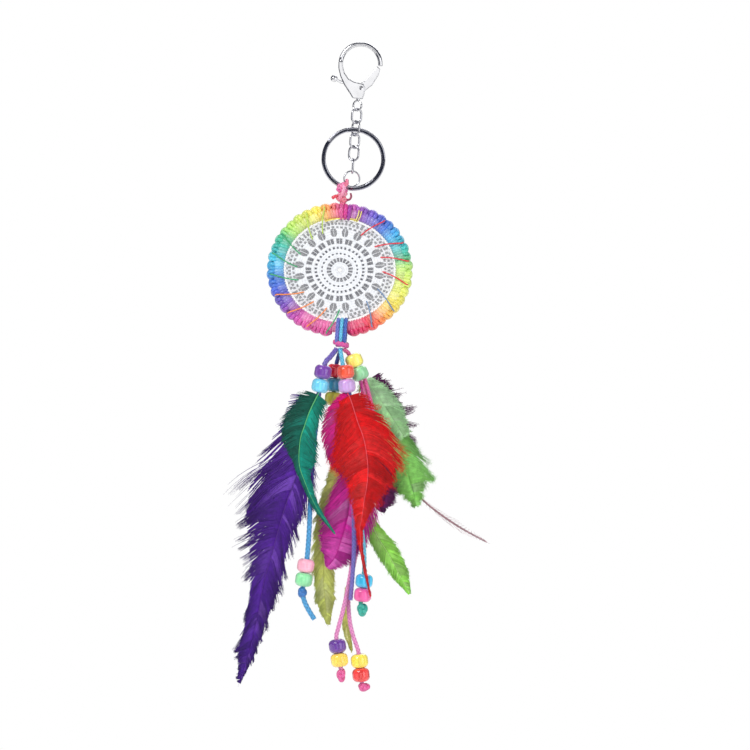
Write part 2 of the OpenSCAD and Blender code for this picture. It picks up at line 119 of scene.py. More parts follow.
def unit(vectors):
    """The same directions, each of length one."""
    return vectors / np.maximum(np.linalg.norm(vectors, axis=-1, keepdims=True), 1e-9)


def sweep(shape, paths, radii, sides, across, tints, closed=False, flat=1.0):
    """Tubes along paths[n, k]. across is a direction that the paths don't run along, and flat
    squashes the tubes along it. radii and tints are for each path point, or each point of a ring."""
    paths = np.asarray(paths, float)
    if paths.ndim == 2:
        paths = paths[None]
    n, k, _ = paths.shape
    ahead = np.roll(paths, -1, 1) - np.roll(paths, 1, 1) if closed else np.gradient(paths, axis=1)
    ahead = unit(ahead)
    u = unit(np.cross(ahead, np.broadcast_to(across, paths.shape)))
    v = np.cross(u, ahead)
    angle = np.arange(sides) * 2 * math.pi / sides
    radii = np.asarray(radii, float)
    if radii.ndim < 3:
        radii = np.broadcast_to(radii, (n, k))[..., None]
    offset = np.cos(angle)[:, None] * u[:, :, None] + flat * np.sin(angle)[:, None] * v[:, :, None]
    points = paths[:, :, None] + radii[..., None] * offset
    tints = np.asarray(tints, float)
    if tints.ndim == 3:
        tints = tints[:, :, None]
    tints = np.broadcast_to(tints, points.shape).reshape(-1, 3)
    index = np.arange(n * k * sides).reshape(n, k, sides)
    beside = np.roll(index, -1, 2)
    if closed:
        walls = [index, np.roll(index, -1, 1), np.roll(beside, -1, 1), beside]
    else:
        walls = [index[:, :-1], index[:, 1:], beside[:, 1:], beside[:, :-1]]
    faces = [np.stack(walls, -1).reshape(-1, 4)]
    if not closed:
        faces += [index[:, 0], index[:, -1, ::-1]]
    shape.add(points, faces, tints)


def smooth_path(route, step):
    """A smooth curve through the route's points, with a point about every step."""
    route = np.asarray(route, float)
    ends = np.vstack([2 * route[0] - route[1], route, 2 * route[-1] - route[-2]])
    dense = []
    for a, b, c, d in zip(ends, ends[1:], ends[2:], ends[3:]):
        t = np.linspace(0, 1, 24, endpoint=False)[:, None]
        dense.append(0.5 * (2 * b + (c - a) * t + (2 * a - 5 * b + 4 * c - d) * t**2
                            + (3 * b - 3 * c + d - a) * t**3))
    dense = np.vstack([*dense, route[-1:]])
    return respace(dense, step)


def respace(dense, step):
    """The same line with its points evenly spaced, a step or so apart."""
    run = np.concatenate([[0], np.cumsum(np.linalg.norm(np.diff(dense, axis=0), axis=1))])
    at = np.linspace(0, run[-1], max(3, int(run[-1] / step)))
    return np.stack([np.interp(at, run, dense[:, axis]) for axis in range(3)], 1)


def box_corners(node):
    """The low and high corners of a CAD node's box."""
    return [np.array(corner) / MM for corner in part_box(node)]


def path_length(path):
    return float(np.linalg.norm(np.diff(path, axis=0), axis=1).sum())


def adopt(piece, body, slot, *replaced):
    """Add an object to the model. It rides on a body and stands for the CAD nodes named last."""
    bpy.context.scene.collection.objects.link(piece)
    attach(piece, body)
    if replaced:
        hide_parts(*replaced)
    return piece


def make_piece(name, shape, body, material, slot, *replaced):
    """One object from a shape."""
    mesh = bpy.data.meshes.new(name)
    mesh.from_pydata((np.concatenate(shape.points) * MM).tolist(), [], shape.faces)
    mesh.shade_smooth()
    tints = np.concatenate(shape.tints)
    rgba = np.hstack([np.clip(tints, 0, 1), np.ones((len(tints), 1))]).astype(np.float32)
    mesh.color_attributes.new("tint", "FLOAT_COLOR", "POINT").data.foreach_set("color", rgba.ravel())
    mesh.materials.append(material)
    return adopt(bpy.data.objects.new(name, mesh), body, slot, *replaced)


def make_cast(name, node, body, material, slot, grain, rounds):
    """A CAD node's shape with soft edges, as cast metal has them. grain is the mesh's step, and
    rounds is how many times the mesh is smoothed."""
    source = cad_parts[node]
    mesh = source.data.copy()
    mesh.transform(source.matrix_world)
    draft = bpy.data.objects.new(f"{name}_draft", mesh)
    bpy.context.scene.collection.objects.link(draft)
    remesh = draft.modifiers.new("even_mesh", "REMESH")
    remesh.mode = "VOXEL"
    remesh.voxel_size = grain * MM
    smooth = draft.modifiers.new("soft_edges", "SMOOTH")
    smooth.factor = 0.5
    smooth.iterations = rounds
    shown = draft.evaluated_get(bpy.context.evaluated_depsgraph_get())
    mesh = bpy.data.meshes.new_from_object(shown)
    bpy.data.objects.remove(draft)
    mesh.name = name
    mesh.shade_smooth()
    mesh.materials.clear()
    mesh.materials.append(material)
    return adopt(bpy.data.objects.new(name, mesh), body, slot, node)


# ---- materials ----

class Nodes:
    """A material's node tree with its Principled shader."""

    def __init__(self, name, **sockets):
        self.material = bpy.data.materials.new(name)
        self.material.use_nodes = True
        self.tree = self.material.node_tree
        self.shader = self.tree.nodes["Principled BSDF"]
        for socket, value in sockets.items():
            self.shader.inputs[socket.replace("_", " ")].default_value = value
        self.coordinates = self.add("ShaderNodeTexCoord").outputs["Object"]

    def add(self, kind, **values):
        node = self.tree.nodes.new(kind)
        for key, value in values.items():
            setattr(node, key, value)
        return node

    def link(self, source, node, socket):
        self.tree.links.new(source, node.inputs[socket])

    def noise(self, scale, detail=3.0, stretch=(1, 1, 1)):
        """A noise with so many lumps to the metre, from 0 to 1."""
        mapping = self.add("ShaderNodeMapping")
        mapping.inputs["Scale"].default_value = stretch
        self.link(self.coordinates, mapping, "Vector")
        noise = self.add("ShaderNodeTexNoise")
        noise.inputs["Scale"].default_value = scale
        noise.inputs["Detail"].default_value = detail
        self.link(mapping.outputs["Vector"], noise, "Vector")
        return noise.outputs["Fac"]

    def ranged(self, source, low, high):
        """The middle of a noise's range, spread over low to high."""
        node = self.add("ShaderNodeMapRange")
        for socket, value in (("From Min", 0.3), ("From Max", 0.7), ("To Min", low), ("To Max", high)):
            node.inputs[socket].default_value = value
        self.link(source, node, "Value")
        return node.outputs["Result"]

    def colour(self, base, shade):
        """The base colour, darkened or lightened by the shade. base is a colour, or None for tint."""
        mix = self.add("ShaderNodeMix", data_type="RGBA", blend_type="MULTIPLY")
        mix.inputs["Factor"].default_value = 1.0
        if base is None:
            source = self.add("ShaderNodeVertexColor", layer_name="tint").outputs["Color"]
            self.tree.links.new(source, mix.inputs[6])
        else:
            mix.inputs[6].default_value = (*base, 1)
        self.tree.links.new(shade, mix.inputs[7])
        self.link(mix.outputs[2], self.shader, "Base Color")

    def bump(self, source, strength, depth):
        node = self.add("ShaderNodeBump")
        node.inputs["Strength"].default_value = strength
        node.inputs["Distance"].default_value = depth
        self.link(source, node, "Height")
        self.link(node.outputs["Normal"], self.shader, "Normal")

    def rough(self, source):
        self.link(source, self.shader, "Roughness")


def satin_cord():
    """Glossy braided rayon, with fine fibres along it."""
    m = Nodes("satin_cord", Sheen_Weight=0.3, Sheen_Roughness=0.35, Coat_Weight=0.6, Coat_Roughness=0.22)
    m.colour(None, m.ranged(m.noise(900), 0.84, 1.14))
    m.rough(m.ranged(m.noise(1500), 0.32, 0.5))
    m.bump(m.noise(5200, 4), 0.35, 0.00012)
    return m.material


def crochet_cotton():
    """Matt thread with a fine twist, in its mesh's tint, which carries painted shade: darker where the lace
    thread is thin, and dark grey on the shade net.
    """
    m = Nodes("crochet_cotton", Sheen_Weight=0.3, Sheen_Roughness=0.6)
    m.colour(None, m.ranged(m.noise(1100), 0.9, 1.04))
    m.rough(m.ranged(m.noise(2000), 0.78, 0.95))
    m.bump(m.noise(4200, 4), 0.5, 0.00018)
    return m.material


def plume():
    """Dyed barbs: soft, with a silky sheen."""
    m = Nodes("plume", Sheen_Weight=0.06, Sheen_Roughness=0.4, Specular_IOR_Level=0.3)
    m.colour(None, m.ranged(m.noise(450), 0.84, 1.14))
    m.rough(m.ranged(m.noise(1300), 0.42, 0.62))
    m.bump(m.noise(3000, 3), 0.25, 0.0001)
    return m.material


def plated(name, base, low, high):
    """Nickel plate with a slight orange peel and rubbed patches."""
    m = Nodes(name, Metallic=1.0)
    m.colour(base, m.ranged(m.noise(160), 0.9, 1.05))
    m.rough(m.ranged(m.noise(420, 4), low, high))
    m.bump(m.noise(700, 2), 0.12, 0.00006)
    return m.material


def pearl(name, base):
    """Moulded plastic whose colour is lightened and darkened in faint upright streaks: a painted pearl sheen.
    """
    m = Nodes(f"pearl_{name}", Coat_Weight=1.0, Coat_Roughness=0.06, Sheen_Weight=0.3,
              Subsurface_Weight=0.08, Subsurface_Scale=0.002)
    # Painted sheen: the colour runs from 0.78 to 1.35 in streaks drawn out upright.
    m.colour(base, m.ranged(m.noise(420, 3, (1, 1, 0.12)), 0.78, 1.35))
    m.rough(m.ranged(m.noise(300), 0.2, 0.34))
    m.bump(m.noise(260, 2), 0.08, 0.00015)
    return m.material


def dye(*shades):
    """A colour as the eye sees it, from 0 to 255, made linear."""
    return tuple((shade / 255) ** 2.2 for shade in shades)


CORD_LOOK = satin_cord()
PLUME_LOOK = plume()

PINK = dye(236, 142, 200)
HOT_PINK = dye(232, 96, 160)
SKY = dye(100, 196, 232)
BLUE = dye(48, 118, 194)
VIOLET = dye(112, 96, 186)
NAVY = dye(48, 68, 150)
TEAL = dye(52, 178, 160)
SALMON = dye(246, 130, 150)
PATH_STEP = 0.3


# ---- cords ----

def blended(stops, at):
    """The colour at a place from 0 to 1 along a list of (place, colour)."""
    places = [stop[0] for stop in stops]
    return np.stack([np.interp(at, places, [stop[1][c] for stop in stops]) for c in range(3)], -1)


def braid(shape, path, diameter, stops, across, closed=False):
    """A cord of eight strands braided over and under each other."""
    sides = 20
    strands = 4
    pitch = 3.4 * diameter
    run = np.concatenate([[0], np.cumsum(np.linalg.norm(np.diff(path, axis=0), axis=1))])
    if closed:
        pitch = run[-1] / max(1, round(run[-1] / pitch))
    turn = strands * np.arange(sides)[None] * 2 * math.pi / sides
    lay = strands * 2 * math.pi * run[:, None] / pitch
    over = np.maximum(np.cos(turn + lay), np.cos(turn - lay))
    radii = diameter / 2 * (0.93 + 0.09 * over)
    # Painted shade: each strand is painted darker where it dips under its neighbours and lighter where it
    # rides over, as the braid's grooves fall in shade.
    colour = blended(stops, run / run[-1])[:, None] * (0.78 + 0.26 * over[..., None])
    sweep(shape, path, radii[None], sides, across, colour[None], closed=closed)


def tied_knot(name, node, diameter, colour, body, slot, tilt=0.0):
    """An overhand knot of cord, drawn tight, that fills a CAD knot's box."""
    low, high = box_corners(node)
    middle = (low + high) / 2
    half = (high - low) / 2
    t = np.linspace(0, 2 * math.pi, 120, endpoint=False)
    ring = 0.62 + 0.34 * np.cos(3 * t)
    reach = half - 0.55 * diameter
    local = np.stack([ring * np.cos(2 * t + tilt), 0.9 * np.sin(3 * t), ring * np.sin(2 * t + tilt)], 1)
    path = middle + local * np.maximum(reach, 0.55 * diameter)
    core = np.stack([np.cos(2 * t + tilt), 0 * t, np.sin(2 * t + tilt)], 1)
    shape = Shape()
    sweep(shape, path, 0.53 * diameter * np.ones(len(t)), 14, core + 0.001, np.array(colour) * 0.95,
          closed=True)
    return make_piece(name, shape, body, CORD_LOOK, slot, node)


LEFT_ROUTE = [
    (-11.4, -0.2, -141), (-12.4, -0.5, -143.1), (-15, -2.8, -146.4), (-18, -4.5, -150.6),
    (-20.7, -4.5, -164.3), (-21.9, -3.8, -177), (-23.3, -3.2, -191), (-24.4, -3, -205),
    (-25.1, -3, -219), (-25.6, -3, -233), (-26.7, -3, -247.2), (-28.7, -3, -261),
    (-29, -3, -264), (-28, -3, -268.5), (-25.8, -3, -273), (-23, -3, -277.5),
]
CENTRE_ROUTE = [
    (-9.8, -0.4, -141), (-10, -1.1, -143.1), (-9.5, -3, -146.4), (-8.8, -5, -150.6),
    (-7.6, -5, -164.4), (-6.4, -4.8, -176), (-5, -4.5, -190), (-3.2, -4.2, -205),
    (-1.2, -3.6, -220), (0.8, -2.6, -234), (1.9, -2, -245), (1.7, -2, -255),
    (0.2, -2, -268.7), (0, -2, -271.6),
]
VIOLET_ROUTE = [
    (-5.7, -5, -160.8), (-5.4, -4.7, -165.5), (-4.7, -3.5, -171), (-4.2, -2.5, -176),
    (-3.9, -2, -183), (-3.8, -1.7, -190), (-3.7, -1.6, -197), (-3.6, -1.5, -205),
    (-3.5, -1.5, -212), (-3.5, -1.5, -220), (-3.4, -1.5, -227), (-3.3, -1.5, -234),
    (-3.3, -1.5, -241), (-3.5, -1.6, -248), (-4.2, -1.6, -259), (-5, -1.6, -268),
]
BACK_ROUTE = [
    (-9.9, 0.7, -141), (-10, 1.4, -143.1), (-10.5, 2.4, -144.6), (-11.1, 3.3, -146.4),
    (-11.6, 4, -148.2), (-12.1, 4.6, -150), (-12.4, 4.6, -153), (-12.6, 4.6, -156),
    (-12.9, 4.6, -159), (-13.2, 4.6, -162), (-13.4, 4.6, -165), (-13.7, 4.6, -168),
    (-13.9, 4.6, -170.8), (-14, 4.6, -172), (-14.1, 4.6, -173.4),
]
PINK_A_ROUTE = [
    (-8.3, -0.3, -141), (-7.8, 0, -143.1), (-5.5, 2, -145.6), (-0.1, 2, -158.4),
    (2.8, 1.9, -170), (4.2, 1.7, -182), (4.3, 1.6, -194), (3.2, 1.6, -206), (1.4, 1.6, -218),
    (-0.6, 1.6, -230), (-2.8, 1.6, -242), (-4.9, 1.5, -254), (-6.9, 1, -265),
    (-9.2, 0, -275), (-11.4, -0.8, -283), (-12, -1, -287.6), (-10, -1, -301.3), (-9.6, -1, -304),
]
PINK_B_ROUTE = [
    (0.6, 2, -154.3), (2, 2, -157.5), (5.3, 2.5, -170), (6.6, 2.9, -182),
    (6.6, 3.3, -194), (5.2, 3.7, -206), (3.2, 3.9, -218), (1, 4, -230),
    (-1.6, 4, -242), (-4, 3.9, -254), (-6, 3.5, -266), (-5.6, 2.6, -277),
    (-4, 1.9, -285), (-1.8, 1.5, -291.5), (-0.9, 1.5, -295.2), (0.6, 1.5, -309), (0.9, 1.5, -311.6),
]


def hanging_cord(name, node, body, route, diameter, stops, slot):
    """A limp braided cord along a route. It starts a little way down the route, clear of the ties.
    The knots are pieces that sit on it."""
    way_down = 1.2
    path = smooth_path(route, PATH_STEP)[round(way_down / PATH_STEP):]
    shape = Shape()
    braid(shape, path, diameter, stops, FRONT)
    piece = make_piece(name, shape, body, CORD_LOOK, slot, node)


def add_cords():
    left_knot = tied_knot("left_knot_tied", "left_knot", 2.3, BLUE, "strand_left", "blue_cord")
    centre_knot = tied_knot("centre_knot_tied", "centre_knot", 2.0, TEAL, "strand_centre", "sky_cord", 0.5)
    back_knot = tied_knot("back_knot_tied", "back_knot", 2.0, NAVY, "strand_back", "blue_cord")
    knot_a = tied_knot("pink_knot_a", "knot_a", 2.0, HOT_PINK, "strand_right", "pink_cord", 0.9)
    knot_b = tied_knot("pink_knot_b", "knot_b", 2.0, HOT_PINK, "strand_right", "pink_cord", 0.3)
    hanging_cord("cord_left", "left_cord", "strand_left", LEFT_ROUTE, LEFT_CORD_D,
                 [(0, VIOLET), (0.12, VIOLET), (0.3, BLUE), (0.7, dye(74, 160, 218)), (1, dye(74, 160, 218))],
                 "blue_cord")
    hanging_cord("cord_centre", "centre_cord", "strand_centre", CENTRE_ROUTE, CORD_D,
                 [(0, SKY), (0.8, SKY), (0.93, TEAL), (1, TEAL)], "sky_cord")
    hanging_cord("cord_violet", "violet_cord", "strand_centre", VIOLET_ROUTE, CORD_D,
                 [(0, VIOLET), (0.7, dye(110, 104, 190)), (1, dye(126, 110, 196))], "violet_cord")
    hanging_cord("cord_back", "back_cord", "strand_back", BACK_ROUTE, CORD_D,
                 [(0, NAVY), (1, NAVY)], "blue_cord")
    hanging_cord("cord_pink_a", "pink_cord_a", "strand_right", PINK_A_ROUTE, CORD_D,
                 [(0, HOT_PINK), (0.5, PINK), (1, PINK)], "pink_cord")
    hanging_cord("cord_pink_b", "pink_cord_b", "strand_right", PINK_B_ROUTE, CORD_D,
                 [(0, HOT_PINK), (0.5, PINK), (1, PINK)], "pink_cord")


add_cords()


# ---- hoop ----

# The space-dyed cord's colours clockwise round the hoop, from the top, in degrees
RAINBOW = [
    (0, dye(234, 100, 160)), (12, dye(196, 96, 180)), (20, dye(146, 88, 190)),
    (32, dye(104, 96, 204)), (44, dye(76, 122, 220)), (56, dye(70, 176, 228)),
    (68, dye(64, 190, 196)), (78, dye(88, 198, 148)), (88, dye(192, 230, 120)),
    (110, dye(230, 238, 112)), (126, dye(250, 228, 100)), (137, dye(252, 180, 88)),
    (146, dye(248, 112, 80)), (156, dye(232, 60, 98)), (175, dye(212, 50, 116)),
    (185, dye(230, 84, 156)), (214, dye(226, 92, 172)), (224, dye(184, 80, 178)),
    (236, dye(124, 82, 188)), (250, dye(80, 98, 208)), (262, dye(68, 130, 222)),
    (276, dye(76, 188, 230)), (290, dye(64, 190, 186)), (302, dye(84, 196, 146)),
    (311, dye(176, 226, 112)), (330, dye(230, 236, 112)), (341, dye(250, 226, 92)),
    (349, dye(252, 170, 90)), (355, dye(248, 126, 126)), (360, dye(234, 100, 160)),
]


def rainbow(angle):
    """The cord's colour at an angle from +X towards +Z, in radians."""
    clockwise = (90 - np.degrees(angle)) % 360
    return blended([(place / 360, colour) for place, colour in RAINBOW], clockwise / 360)


def on_hoop(angle, radius, depth):
    """Points at an angle round the hoop, this far out from its middle and forward."""
    angle, radius, depth = np.broadcast_arrays(angle, radius, depth)
    return HOOP_MIDDLE + np.stack([radius * np.cos(angle), depth, SQUASH * radius * np.sin(angle)], -1)


def along_hoop(angle):
    """The direction round the hoop at an angle."""
    return unit(np.stack([-np.sin(angle), 0 * angle, SQUASH * np.cos(angle)], -1))


def uneven(count, low, high, seed):
    """A function of a place from 0 to count that wanders between low and high, turn by turn."""
    values = np.random.default_rng(seed).uniform(low, high, count + 1)
    return lambda place: np.interp(place, np.arange(count + 1), values)


def add_winding():
    """One cord wound round the core, turn against turn. Its dye is paler on some turns."""
    turns = 130
    points_each = 22
    sides = 10
    cord_r = 0.78
    t = np.linspace(0, 1, turns * points_each)
    angle = math.pi / 2 + 2 * math.pi * (t + uneven(turns, -0.2, 0.2, 21)(turns * t) / turns)
    round_core = 2 * math.pi * turns * t
    reach = WRAP_R - cord_r + uneven(turns, -0.08, 0.08, 22)(turns * t)
    path = on_hoop(angle, HOOP_R + reach * np.cos(round_core), reach * np.sin(round_core))
    fibres = 1 + 0.05 * np.cos(5 * np.arange(sides) * 2 * math.pi / sides)
    tint = rainbow(angle) * uneven(turns, 0.86, 1.1, 23)(turns * t)[:, None]
    pale = uneven(turns, 0.0, 0.22, 24)(turns * t)[:, None]
    shape = Shape()
    sweep(shape, path, (cord_r * 1.06 * fibres * np.ones((len(t), 1)))[None], sides, along_hoop(angle),
          (tint + pale * (1 - tint))[None], flat=1.1)
    make_piece("winding", shape, "hoop", CORD_LOOK, "hoop_cord", "hoop_wrap")


def add_hitches():
    """The ridge on the rim: a cord held down by hitches of two turns, with a bar across each."""
    shape = Shape()
    random = np.random.default_rng(31)
    pitch = 2 * math.pi / HITCHES
    top_wraps, foot_ties = (87, 5), (270, 7)    # the middle and half the width, in degrees
    middles = [(i + 0.5) * pitch for i in range(HITCHES)]
    middles = [a for a in middles
               if all(abs(math.degrees(a) - at) > half for at, half in (top_wraps, foot_ties))]
    t = np.linspace(0, 2 * math.pi, 18, endpoint=False)
    for middle in middles:
        size = random.uniform(0.88, 1.12)
        lean = random.uniform(-0.16, 0.16) * pitch
        tint_by = random.uniform(0.85, 1.15)
        for side in (-1, 1):
            angle = middle + side * 0.21 * pitch + 0.06 * pitch * np.sin(t) + lean * np.sin(t)
            path = on_hoop(angle, WRAP_OUT + 1.5 * size * np.cos(t), 1.8 * np.sin(t))
            tint = rainbow(angle) * tint_by
            sweep(shape, path, 0.86 * size, 10, along_hoop(angle), tint[None], closed=True, flat=1.15)
        bar = np.linspace(-0.56, 0.56, 11)
        swell = 1 - (bar / 0.6) ** 2
        angle = middle + bar * pitch
        path = on_hoop(angle, WRAP_OUT + 0.75 + 1.15 * size * swell, (1.6 * random.random() - 0.8) * bar)
        tint = rainbow(angle)
        tint = tint + 0.22 * random.random() * (1 - tint)
        sweep(shape, path, 0.85 * size * (0.5 + 0.5 * swell), 10, FRONT, tint[None])
    half_round = 166
    for start in (-83, 97):
        angle = np.radians(np.linspace(start, start + half_round, 140))
        wave = 0.3 * np.sin(HITCHES * angle)
        sweep(shape, on_hoop(angle, WRAP_OUT + 0.25, wave), 1.05, 10, FRONT, rainbow(angle)[None])
    make_piece("hitches", shape, "hoop", CORD_LOOK, "hoop_cord", "hitch_knots")


def add_lacing():
    """Threads of several colours from the rim, over the winding and into the doily's edge, and a
    yellow one whipped round the winding near the top."""
    red, orange, green = dye(226, 44, 60), dye(244, 140, 70), dye(60, 170, 110)
    lime, grey, yellow = dye(190, 220, 90), dye(110, 140, 180), dye(250, 236, 120)
    threads = [(50, red), (25, red), (8, red), (-13, red), (-39, grey), (-62, grey), (-101, green),
               (-118, orange), (-138, orange), (-157, orange), (-176, green), (-195, green),
               (-214, green), (-241, lime), (-257, lime)]
    skew = math.radians(10)
    shape = Shape()

    def lay(path, radius, colour, closed=False):
        twist = radius * (1 + 0.09 * np.cos(np.arange(len(path))[:, None] * 1.1
                                            + np.arange(8) * math.pi / 2))
        sweep(shape, path, twist[None], 8, FRONT + 0.3 * UP, np.array(colour), closed=closed)

    for degrees, colour in threads:
        a = math.radians(degrees)
        route = [on_hoop(a, WRAP_OUT + 1.3, -1.5), on_hoop(a, WRAP_OUT + 0.3, -3.1),
                 on_hoop(a + 0.25 * skew, HOOP_R, -3.45), on_hoop(a + 0.5 * skew, HOOP_R - WRAP_R, -3.1),
                 on_hoop(a + 0.75 * skew, 25.0, -1.9), on_hoop(a + skew, 22.0, -0.7),
                 on_hoop(a + 1.04 * skew, 21.4, 0.2)]
        lay(smooth_path(route, 0.35), 0.34, colour)
    t = np.linspace(0, 2 * math.pi, 40, endpoint=False)
    for turn in range(2):
        a = math.radians(72 + 2.2 * turn) + math.radians(1.5) * np.sin(t)
        reach = WRAP_R + 0.45
        lay(on_hoop(a, HOOP_R + reach * np.cos(t), reach * np.sin(t)), 0.26, yellow, closed=True)
    for height in (0, 0.7):
        a = np.radians(np.linspace(72, 106, 60))
        lay(on_hoop(a, HOOP_R - WRAP_R - 0.15 - height * np.sin(4 * a), -0.9 - height), 0.28, yellow)
    make_piece("lacing", shape, "hoop", CORD_LOOK, "lacing_cord", "lacing_threads")


def doily_thread(radius, angle):
    """How deep inside the doily's thread a place is. It is under 0 in a hole of the lace."""
    petals = 20
    # The lace is pulled a little unevenly
    angle = angle + 0.02 * np.sin(3 * angle + 1) + 0.012 * np.sin(8 * angle)
    radius = radius * (1 + 0.011 * np.sin(5 * angle + 2))
    radius, angle = np.broadcast_arrays(radius, angle)

    def off_spoke(count, phase=0.0):
        """How far a place is from the nearest of so many spokes."""
        pitch = 2 * math.pi * radius / count
        return np.abs((angle * count / (2 * math.pi) + phase) % 1 - 0.5) * pitch

    def ring(low, high, count, share, phase=0.0):
        """Holes in a ring, count of them, each taking a share of its pitch."""
        beyond = np.abs(radius - (low + high) / 2) - (high - low) / 2
        beside = off_spoke(count, phase) - share * math.pi * radius / count
        return np.maximum(beyond, beside)

    def teardrops():
        """A pair of drops in each petal, wide towards the middle, with a thread between them."""
        along = (radius - 18.0) / 4.0
        width = 2.7 * np.sqrt(np.clip(along * (1.15 - along), 0, 1))
        off = off_spoke(petals)
        return np.maximum.reduce([off - width, 0.32 - off, np.abs(along - 0.5) * 4 - 2.1])

    pairs = np.maximum(ring(14.3, 16.8, petals, 0.62, 0.5), 0.3 - off_spoke(petals, 0.5))
    edge = 26.4 + 1.1 * np.abs(np.cos(30 * angle)) + 0.2 * np.cos(3 * angle)
    holes = [
        ring(4.5, 6.4, petals, 0.55), ring(8.6, 9.1, 26, 0.3, 0.3), ring(11.5, 12.4, 36, 0.36),
        pairs, teardrops(), ring(22.6, 23.3, 60, 0.45),
        ring(24.4, 25.4, 80, 0.42, 0.5), ring(25.9, 26.4, 60, 0.3), radius - 1.0,
    ]
    return np.minimum.reduce([*holes, edge - radius])


def add_doily():
    """Crocheted lace: rounds of stitches with rings of holes, thick in the thread's middle."""
    rounds, spokes = 104, 480
    centre_r, rim_r = 0.6, 27.4
    ties_at, ties_half, ties_top = 0.85, 3.6, -25.2
    radius = np.linspace(centre_r, rim_r, rounds)[:, None]
    angle = np.arange(spokes)[None] * 2 * math.pi / spokes
    depth = doily_thread(radius, angle)
    stitch = 0.5 + 0.5 * np.cos(2 * math.pi * radius / 1.35 + 0.8 * np.cos(60 * angle))
    twist = 0.5 + 0.5 * np.cos(80 * angle + 4 * radius)
    height = 0.42 * np.sqrt(np.clip(depth / 0.45, 0.02, 1)) * (0.62 + 0.26 * stitch + 0.12 * twist)
    tied = (np.abs(radius * np.cos(angle) - ties_at) < ties_half) & (radius * np.sin(angle) < ties_top)
    kept = (depth > -0.03) & ~tied
    whole = kept & np.roll(kept, -1, 1)
    whole = whole[:-1] & whole[1:]
    shape = Shape()
    index = np.arange(rounds * spokes).reshape(rounds, spokes)
    beside = np.roll(index, -1, 1)
    quads = np.stack([index[:-1], index[1:], beside[1:], beside[:-1]], -1)[whole]
    # Painted shade: the thread is painted darker where it is thin, at the edges of the holes and in the dips
    # between stitches, down to about half its white.
    white = np.array([0.86, 0.88, 0.92]) * (0.42 + 0.58 * np.clip(height / 0.36, 0, 1))[..., None]
    for side, faces in ((-1, quads), (1, quads[:, ::-1])):
        shape.add(on_hoop(angle, radius, side * height).reshape(-1, 3), [faces], white.reshape(-1, 3))
    cotton = crochet_cotton()
    lace = make_piece("doily_lace", shape, "hoop", cotton, "doily_cotton", "doily")
    drop_loose_points(lace)
    # Painted shade: a dark grey net of thread behind the lace's holes.
    net = add_doily_shade_net(cotton)


def add_doily_shade_net(cotton):
    """Fine chains of single thread across the lace's holes and out between its picots, dark grey: painted
    shade, put where the stitches shade each other.
    """
    shade = dye(78, 80, 92)
    outer, notch = 26.8, math.radians(9)
    shape = Shape()
    for radius in np.arange(1.2, outer, 0.5):
        gap = notch if radius > 24 else 0.01
        angle = np.linspace(gap, 2 * math.pi - gap, 110) - math.pi / 2
        sweep(shape, on_hoop(angle, radius, 0.05 * np.cos(30 * angle)), 0.13, 5, FRONT, shade)
    spokes = 300
    for number in range(spokes):
        angle = 2 * math.pi * number / spokes - math.pi / 2
        away = abs(math.remainder(angle + math.pi / 2, 2 * math.pi))
        radius = np.linspace(3.0 if number % 3 == 0 else 8.0, outer if away > notch else 24.0, 12)
        sweep(shape, on_hoop(angle, radius, 0), 0.12, 5, FRONT, shade)
    return make_piece("doily_net", shape, "hoop", cotton, "doily_cotton")


def drop_loose_points(piece):
    """Take away the points that no face uses, those inside the lace's holes."""
    work = bmesh.new()
    work.from_mesh(piece.data)
    bmesh.ops.delete(work, geom=[v for v in work.verts if not v.link_faces], context="VERTS")
    work.to_mesh(piece.data)
    work.free()


def add_ties():
    """Three turns of cord round the foot of the hoop, from which the strands hang."""
    foot = HOOP_MIDDLE[2] - SQUASH * HOOP_R
    loop_r = WRAP_R + TIE_D / 2 + 0.05
    drop = 4.1
    low, high = box_corners("bottom_ties")
    middle = (low[0] + high[0]) / 2
    t = np.linspace(0, math.pi, 24)
    arch = np.stack([0 * t, -loop_r * np.cos(t), loop_r * np.sin(t)], 1)
    loop = np.vstack([arch, -arch + (0, 0, -drop)])
    loop = respace(np.vstack([loop, loop[:1]]), 0.3)[:-1]
    lean = np.outer(0.5 * np.sin(np.linspace(0, 2 * math.pi, len(loop))), ACROSS)
    shape = Shape()
    for turn, colour in ((-1, dye(104, 112, 204)), (0, SKY), (1, dye(60, 100, 190))):
        path = loop + lean + (middle + turn * (TIE_D + 0.05), 0, foot)
        braid(shape, path, TIE_D, [(0, colour), (1, colour)], ACROSS, closed=True)
    make_piece("ties", shape, "hoop", CORD_LOOK, "blue_cord", "bottom_ties")


def add_band():
    """The pink cord wound round the strands under the ties, over the bundle of their ends."""
    low, high = box_corners("bottom_band")
    middle = (low + high) / 2
    cord_r = 1.05
    turns = 2.2
    slant = 0.8
    reach = (high[0] - low[0]) / 2 - cord_r
    height = (high[2] - low[2]) / 2 - cord_r
    t = np.linspace(0, turns, 110)
    path = middle + np.stack([reach * np.cos(2 * math.pi * t), reach * np.sin(2 * math.pi * t),
                              height * (1 - 2 * t / turns) - slant * np.cos(2 * math.pi * t)], 1)
    shape = Shape()
    braid(shape, path, 2 * cord_r, [(0, HOT_PINK), (1, (0.70, 0.06, 0.38))], UP)
    path = middle + np.outer(np.linspace(0.95, -0.95, 8), UP) * (high[2] - low[2]) / 2
    swell = np.sqrt(np.linspace(0.35, 1, 8) * np.linspace(1, 0.35, 8) / 0.46)
    sweep(shape, path, 0.93 * reach * swell, 20, ACROSS, np.array((0.42, 0.04, 0.30)))
    make_piece("band", shape, "hoop", CORD_LOOK, "pink_cord", "bottom_band")


def top_knot_place():
    """Where the top knot's turns are measured from, above the top of the hoop."""
    low, high = box_corners("top_knot")
    return np.array([(low[0] + high[0]) / 2, 0, HOOP_TOP + 9.5])


